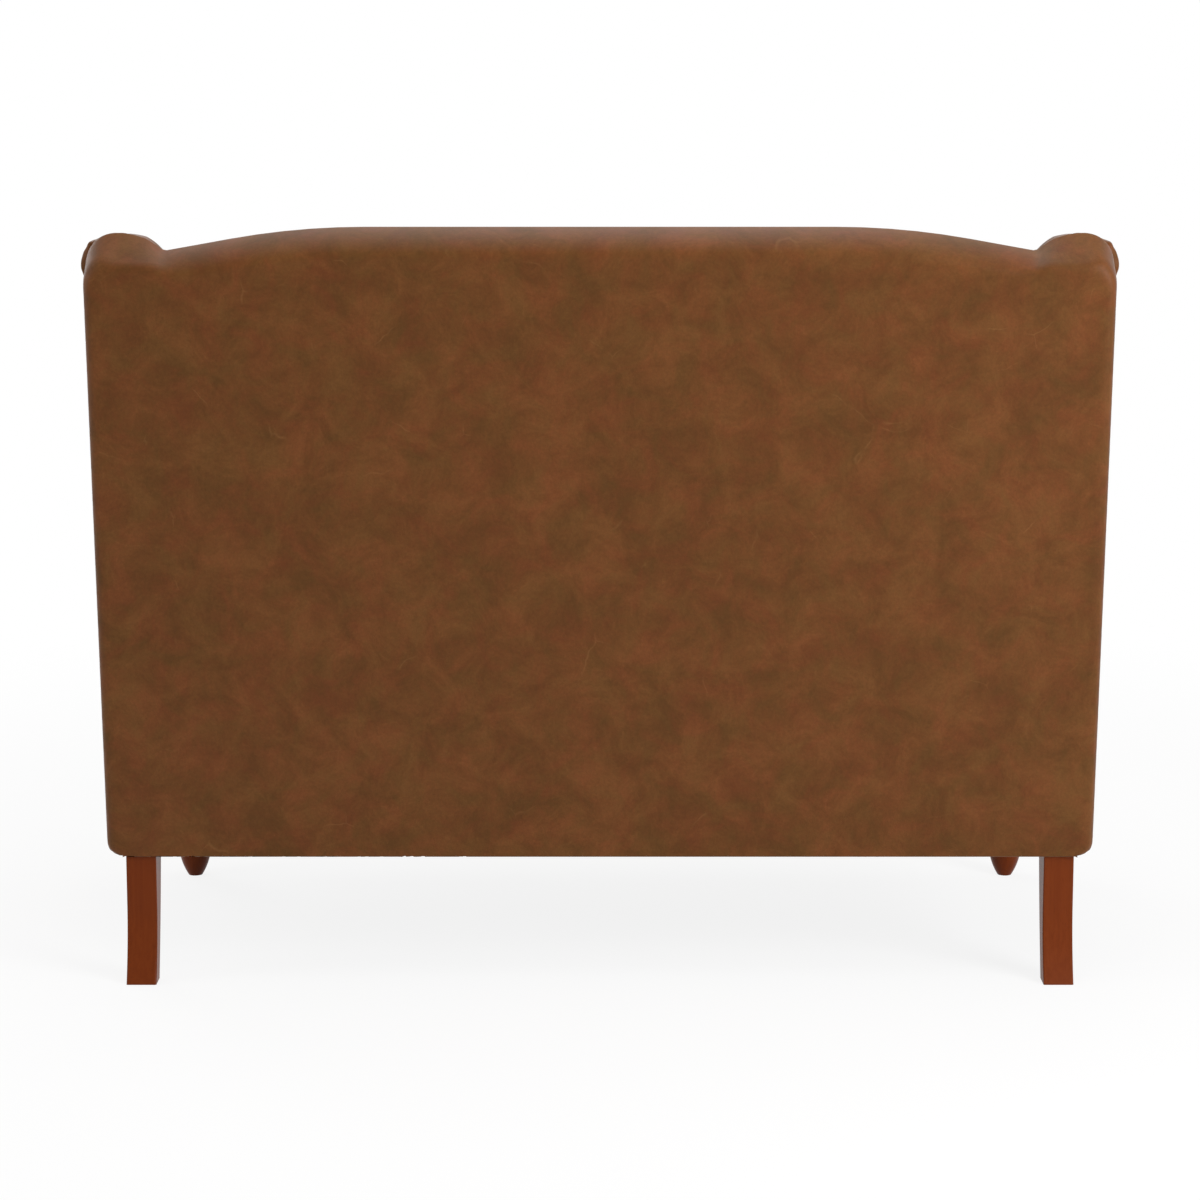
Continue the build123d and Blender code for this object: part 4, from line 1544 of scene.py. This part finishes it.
@dataclass
class Studio:
    """Camera of the photograph, soft light, white ground."""

    camera_place: tuple[float, float, float] = (0.0, 4.5892, 1.2299)
    camera_pitch: float = 9.37
    lens: float = 100.0
    sensor: float = 36.0
    floor_size: float = 120.0
    world_level: float = 0.34
    floor_white: float = 0.86
    # The floor keeps its shadow up to the first distance and is plain white from the second.
    shadow_reach: float = 0.9
    shadow_end: float = 2.7

    def camera(self) -> None:
        """Set up the camera that looks at the back of the settee."""
        data = bpy.data.cameras.new("view")
        data.lens = self.lens
        data.sensor_width = self.sensor
        camera = bpy.data.objects.new("view", data)
        camera.location = self.camera_place
        camera.rotation_euler = (math.radians(90 - self.camera_pitch), 0, math.radians(180))
        bpy.context.scene.collection.objects.link(camera)
        bpy.context.scene.camera = camera

    def softbox(self, name: str, place: tuple[float, float, float], aim: tuple[float, float, float],
                size: float, power: float) -> None:
        """Hang one square soft light.

        Args:
            name: name of the lamp.
            place: middle of the lamp.
            aim: point that it faces.
            size: length of a side.
            power: radiant power in watts.
        """
        data = bpy.data.lights.new(name, "AREA")
        data.size = size
        data.energy = power
        lamp = bpy.data.objects.new(name, data)
        lamp.location = place
        way = lamp.location - Vector(aim)
        lamp.rotation_euler = way.to_track_quat("Z", "Y").to_euler()
        bpy.context.scene.collection.objects.link(lamp)

    def white_rays(self, tree: Tree) -> Socket:
        """Tell rays that show the ground to the eye from those that light the settee.

        Args:
            tree: node tree of the floor or the world.

        Returns:
            Socket that is one for the rays of the eye.
        """
        rays = add_node(tree, "LightPath")
        seen = add_node(tree, "Math", {"operation": "MAXIMUM"},
                        {0: rays.outputs["Is Camera Ray"], 1: rays.outputs["Is Glossy Ray"]})
        return add_node(tree, "Math", {"operation": "MAXIMUM"},
                        {0: seen.outputs["Value"], 1: rays.outputs["Is Transmission Ray"]}).outputs["Value"]

    def floor(self) -> None:
        """Lay the pale floor, which keeps the settee's shadow."""
        bpy.ops.object.select_all(action="DESELECT")
        bpy.ops.mesh.primitive_plane_add(size=self.floor_size)
        floor = bpy.context.object
        floor.name = "studio_floor"
        material, tree, shader = new_finish("matt_white_paper")
        shader.inputs["Base Color"].default_value = linear("#F4F4F4")
        shader.inputs["Roughness"].default_value = 1.0
        shader.inputs["Specular IOR Level"].default_value = 0.0
        glow = add_node(tree, "Emission")
        place = add_node(tree, "TexCoord").outputs["Object"]
        reach = add_node(tree, "VectorMath", {"operation": "LENGTH"}, {0: place})
        white = add_node(tree, "MapRange", {
            "interpolation_type": "SMOOTHSTEP",
            "From Min": self.shadow_reach, "From Max": self.shadow_end,
            "To Min": self.floor_white, "To Max": 1.0,
        }, {"Value": reach.outputs["Value"]})
        share = add_node(tree, "Math", {"operation": "MULTIPLY"},
                         {0: self.white_rays(tree), 1: white.outputs["Result"]})
        blend = add_node(tree, "MixShader", {}, {
            0: share.outputs["Value"], 1: shader.outputs["BSDF"], 2: glow.outputs["Emission"],
        })
        tree.links.new(blend.outputs["Shader"], tree.nodes["Material Output"].inputs["Surface"])
        floor.data.materials.append(material)

    def world(self) -> None:
        """Light the room evenly, white where it is seen."""
        world = bpy.data.worlds.new("studio")
        world.use_nodes = True
        tree = world.node_tree
        level = add_node(tree, "MapRange", {"To Min": self.world_level, "To Max": 1.0},
                         {"Value": self.white_rays(tree)})
        tree.nodes["Background"].inputs["Color"].default_value = grey(1.0)
        tree.links.new(level.outputs["Result"], tree.nodes["Background"].inputs["Strength"])
        bpy.context.scene.world = world

    def build(self) -> None:
        """Set up the whole studio."""
        self.camera()
        self.floor()
        self.world()
        self.softbox("right_softbox", (-2.4, 2.3, 1.6), (-0.2, 0.3, 0.6), size=1.5, power=86.0)
        self.softbox("top_softbox", (-0.1, 0.6, 3.0), (0.0, 0.25, 0.9), size=2.2, power=29.0)
        self.softbox("seat_softbox", (0.1, -0.9, 2.9), (0.0, 0.2, 0.9), size=1.5, power=12.0)
        self.softbox("left_softbox", (3.0, 0.75, 1.3), (0.65, 0.3, 0.6), size=1.2, power=18.0)
        self.softbox("front_softbox", (2.6, -3.2, 2.2), (0.0, 0.0, 0.5), size=1.8, power=34.0)
        bpy.context.scene.view_settings.view_transform = "Standard"


@dataclass
class Settee:
    """The whole settee: covers, cushions, inner layers, legs and frame."""

    frame: dict
    finishes: dict[str, Material] = field(default_factory=dict)

    def mix_finishes(self) -> None:
        """Make one material for each slot of the record, and one more for the deck."""
        kinds = {
            "hide": WaxedHide(),
            "leg_wood": Wood("stained_cherry", "#6D2F0C", "#642908", "#541F06", Grain.UPRIGHT, 0.33,
                             gloss=0.1),
            "frame_wood": Wood("planed_beech", "#C9A274", "#B28657", "#8E653D", Grain.ACROSS, 0.6),
            "frame_ply": Plywood(),
            "foam": Fleece("cut_foam", "#E3D7AC", "#C9BA86", 2.2 * MM, 0.5 * MM),
            "padding": Fleece("needled_felt", "#9A948B", "#6F6A63", 3.0 * MM, 0.4 * MM),
            "webbing": WovenCloth("jute_webbing", "#8F7650", "#5C4A30", 1.2 * MM),
            "decking": WovenCloth("brown_decking", "#5A3E28", "#3B2818", 0.9 * MM),
            "dust_cloth": Fleece("black_bonded_cloth", "#1C1B1A", "#0C0C0C", 1.6 * MM, 0.2 * MM),
            "spring_steel": Steel("oiled_spring_wire", "#6A6B6E", "#3E3F42", 0.4),
            "plated_steel": Steel("zinc_plate", "#B9BCC2", "#8C9099", 0.3),
        }
        self.finishes = {slot: kind.material() for slot, kind in kinds.items()}

    def covers(self) -> None:
        """Make every cover of hide."""
        hide = self.finishes["hide"]
        raked = RakedBack.found(self.frame)
        OutsideBack(raked=raked).build(self.frame, hide)
        InsideBack(raked=raked).build(self.frame, hide)
        WingAndArm(raked=raked).sides(self.frame, hide)
        panel = FlatPanel("outside_panel_left_pad", ("outside_panel_left",), fill=0.9)
        panel.mirrored(panel.build(self.frame, hide), hide)
        border = FlatPanel("front_border_pad", ("front_border",), inward=(0, 1, 0), crown=4 * MM,
                           thicken=0.0)
        border.build(self.frame, hide)
        facing = ArmFacing()
        facing.mirrored(facing.build(self.frame, hide), hide)
        welt = facing.welt(self.frame, hide)
        settle(mirror_copy(welt, "arm_facing_welt_right"), SETTEE, hide)

    def cushions(self) -> None:
        """Make both seat cushions with their welts."""
        hide = self.finishes["hide"]
        cushion = SeatCushion()
        cover = cushion.build(self.frame, hide)
        cushion.mirrored(cover, hide)
        for welt in cushion.welts(cover, hide):
            copy = mirror_copy(welt, welt.name.replace("left", "right"))
            settle(copy, Side.RIGHT.cushion(), hide)

    def inner_layers(self) -> None:
        """Make the soft layers that the hide covers."""
        layers = [
            InnerLayer("outside_back_wadding", "padding", 0.3, ease=2 * MM),
            InnerLayer("inside_back_foam", "foam", 0.9, ease=8 * MM),
            InnerLayer("deck_pad", "padding", 0.6, ease=8 * MM, cloth="decking"),
            InnerLayer("spring_insulator", "padding", 0.2, ease=0.4 * MM),
        ]
        for side in Side:
            layers.append(InnerLayer(side.named("seat_foam"), "foam", 0.9, side.cushion(), ease=8 * MM))
        for layer in layers:
            layer.build(self.frame, self.finishes[layer.cloth or layer.slot])

    def bare_nodes(self) -> None:
        """Dress every solid that stays as it is."""
        slots = {part["node"]: part["material_slot"] for part in self.frame["record"]["subparts"]}
        for name, node in self.frame["nodes"].items():
            if not node.hide_render:
                node.data.materials.clear()
                node.data.materials.append(self.finishes[slots[name]])
                log.info("%s: %s", name, slots[name])

    def build(self) -> None:
        """Make the settee in order."""
        self.mix_finishes()
        self.covers()
        self.cushions()
        self.inner_layers()
        DustCover().build(self.frame, self.finishes["dust_cloth"])
        self.bare_nodes()


def main() -> None:
    """Build the settee and its studio."""
    logging.basicConfig(level=logging.INFO, format="%(asctime)s %(message)s")
    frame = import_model()
    Settee(frame).build()
    Studio().build()


if __name__ == "__main__":
    main()
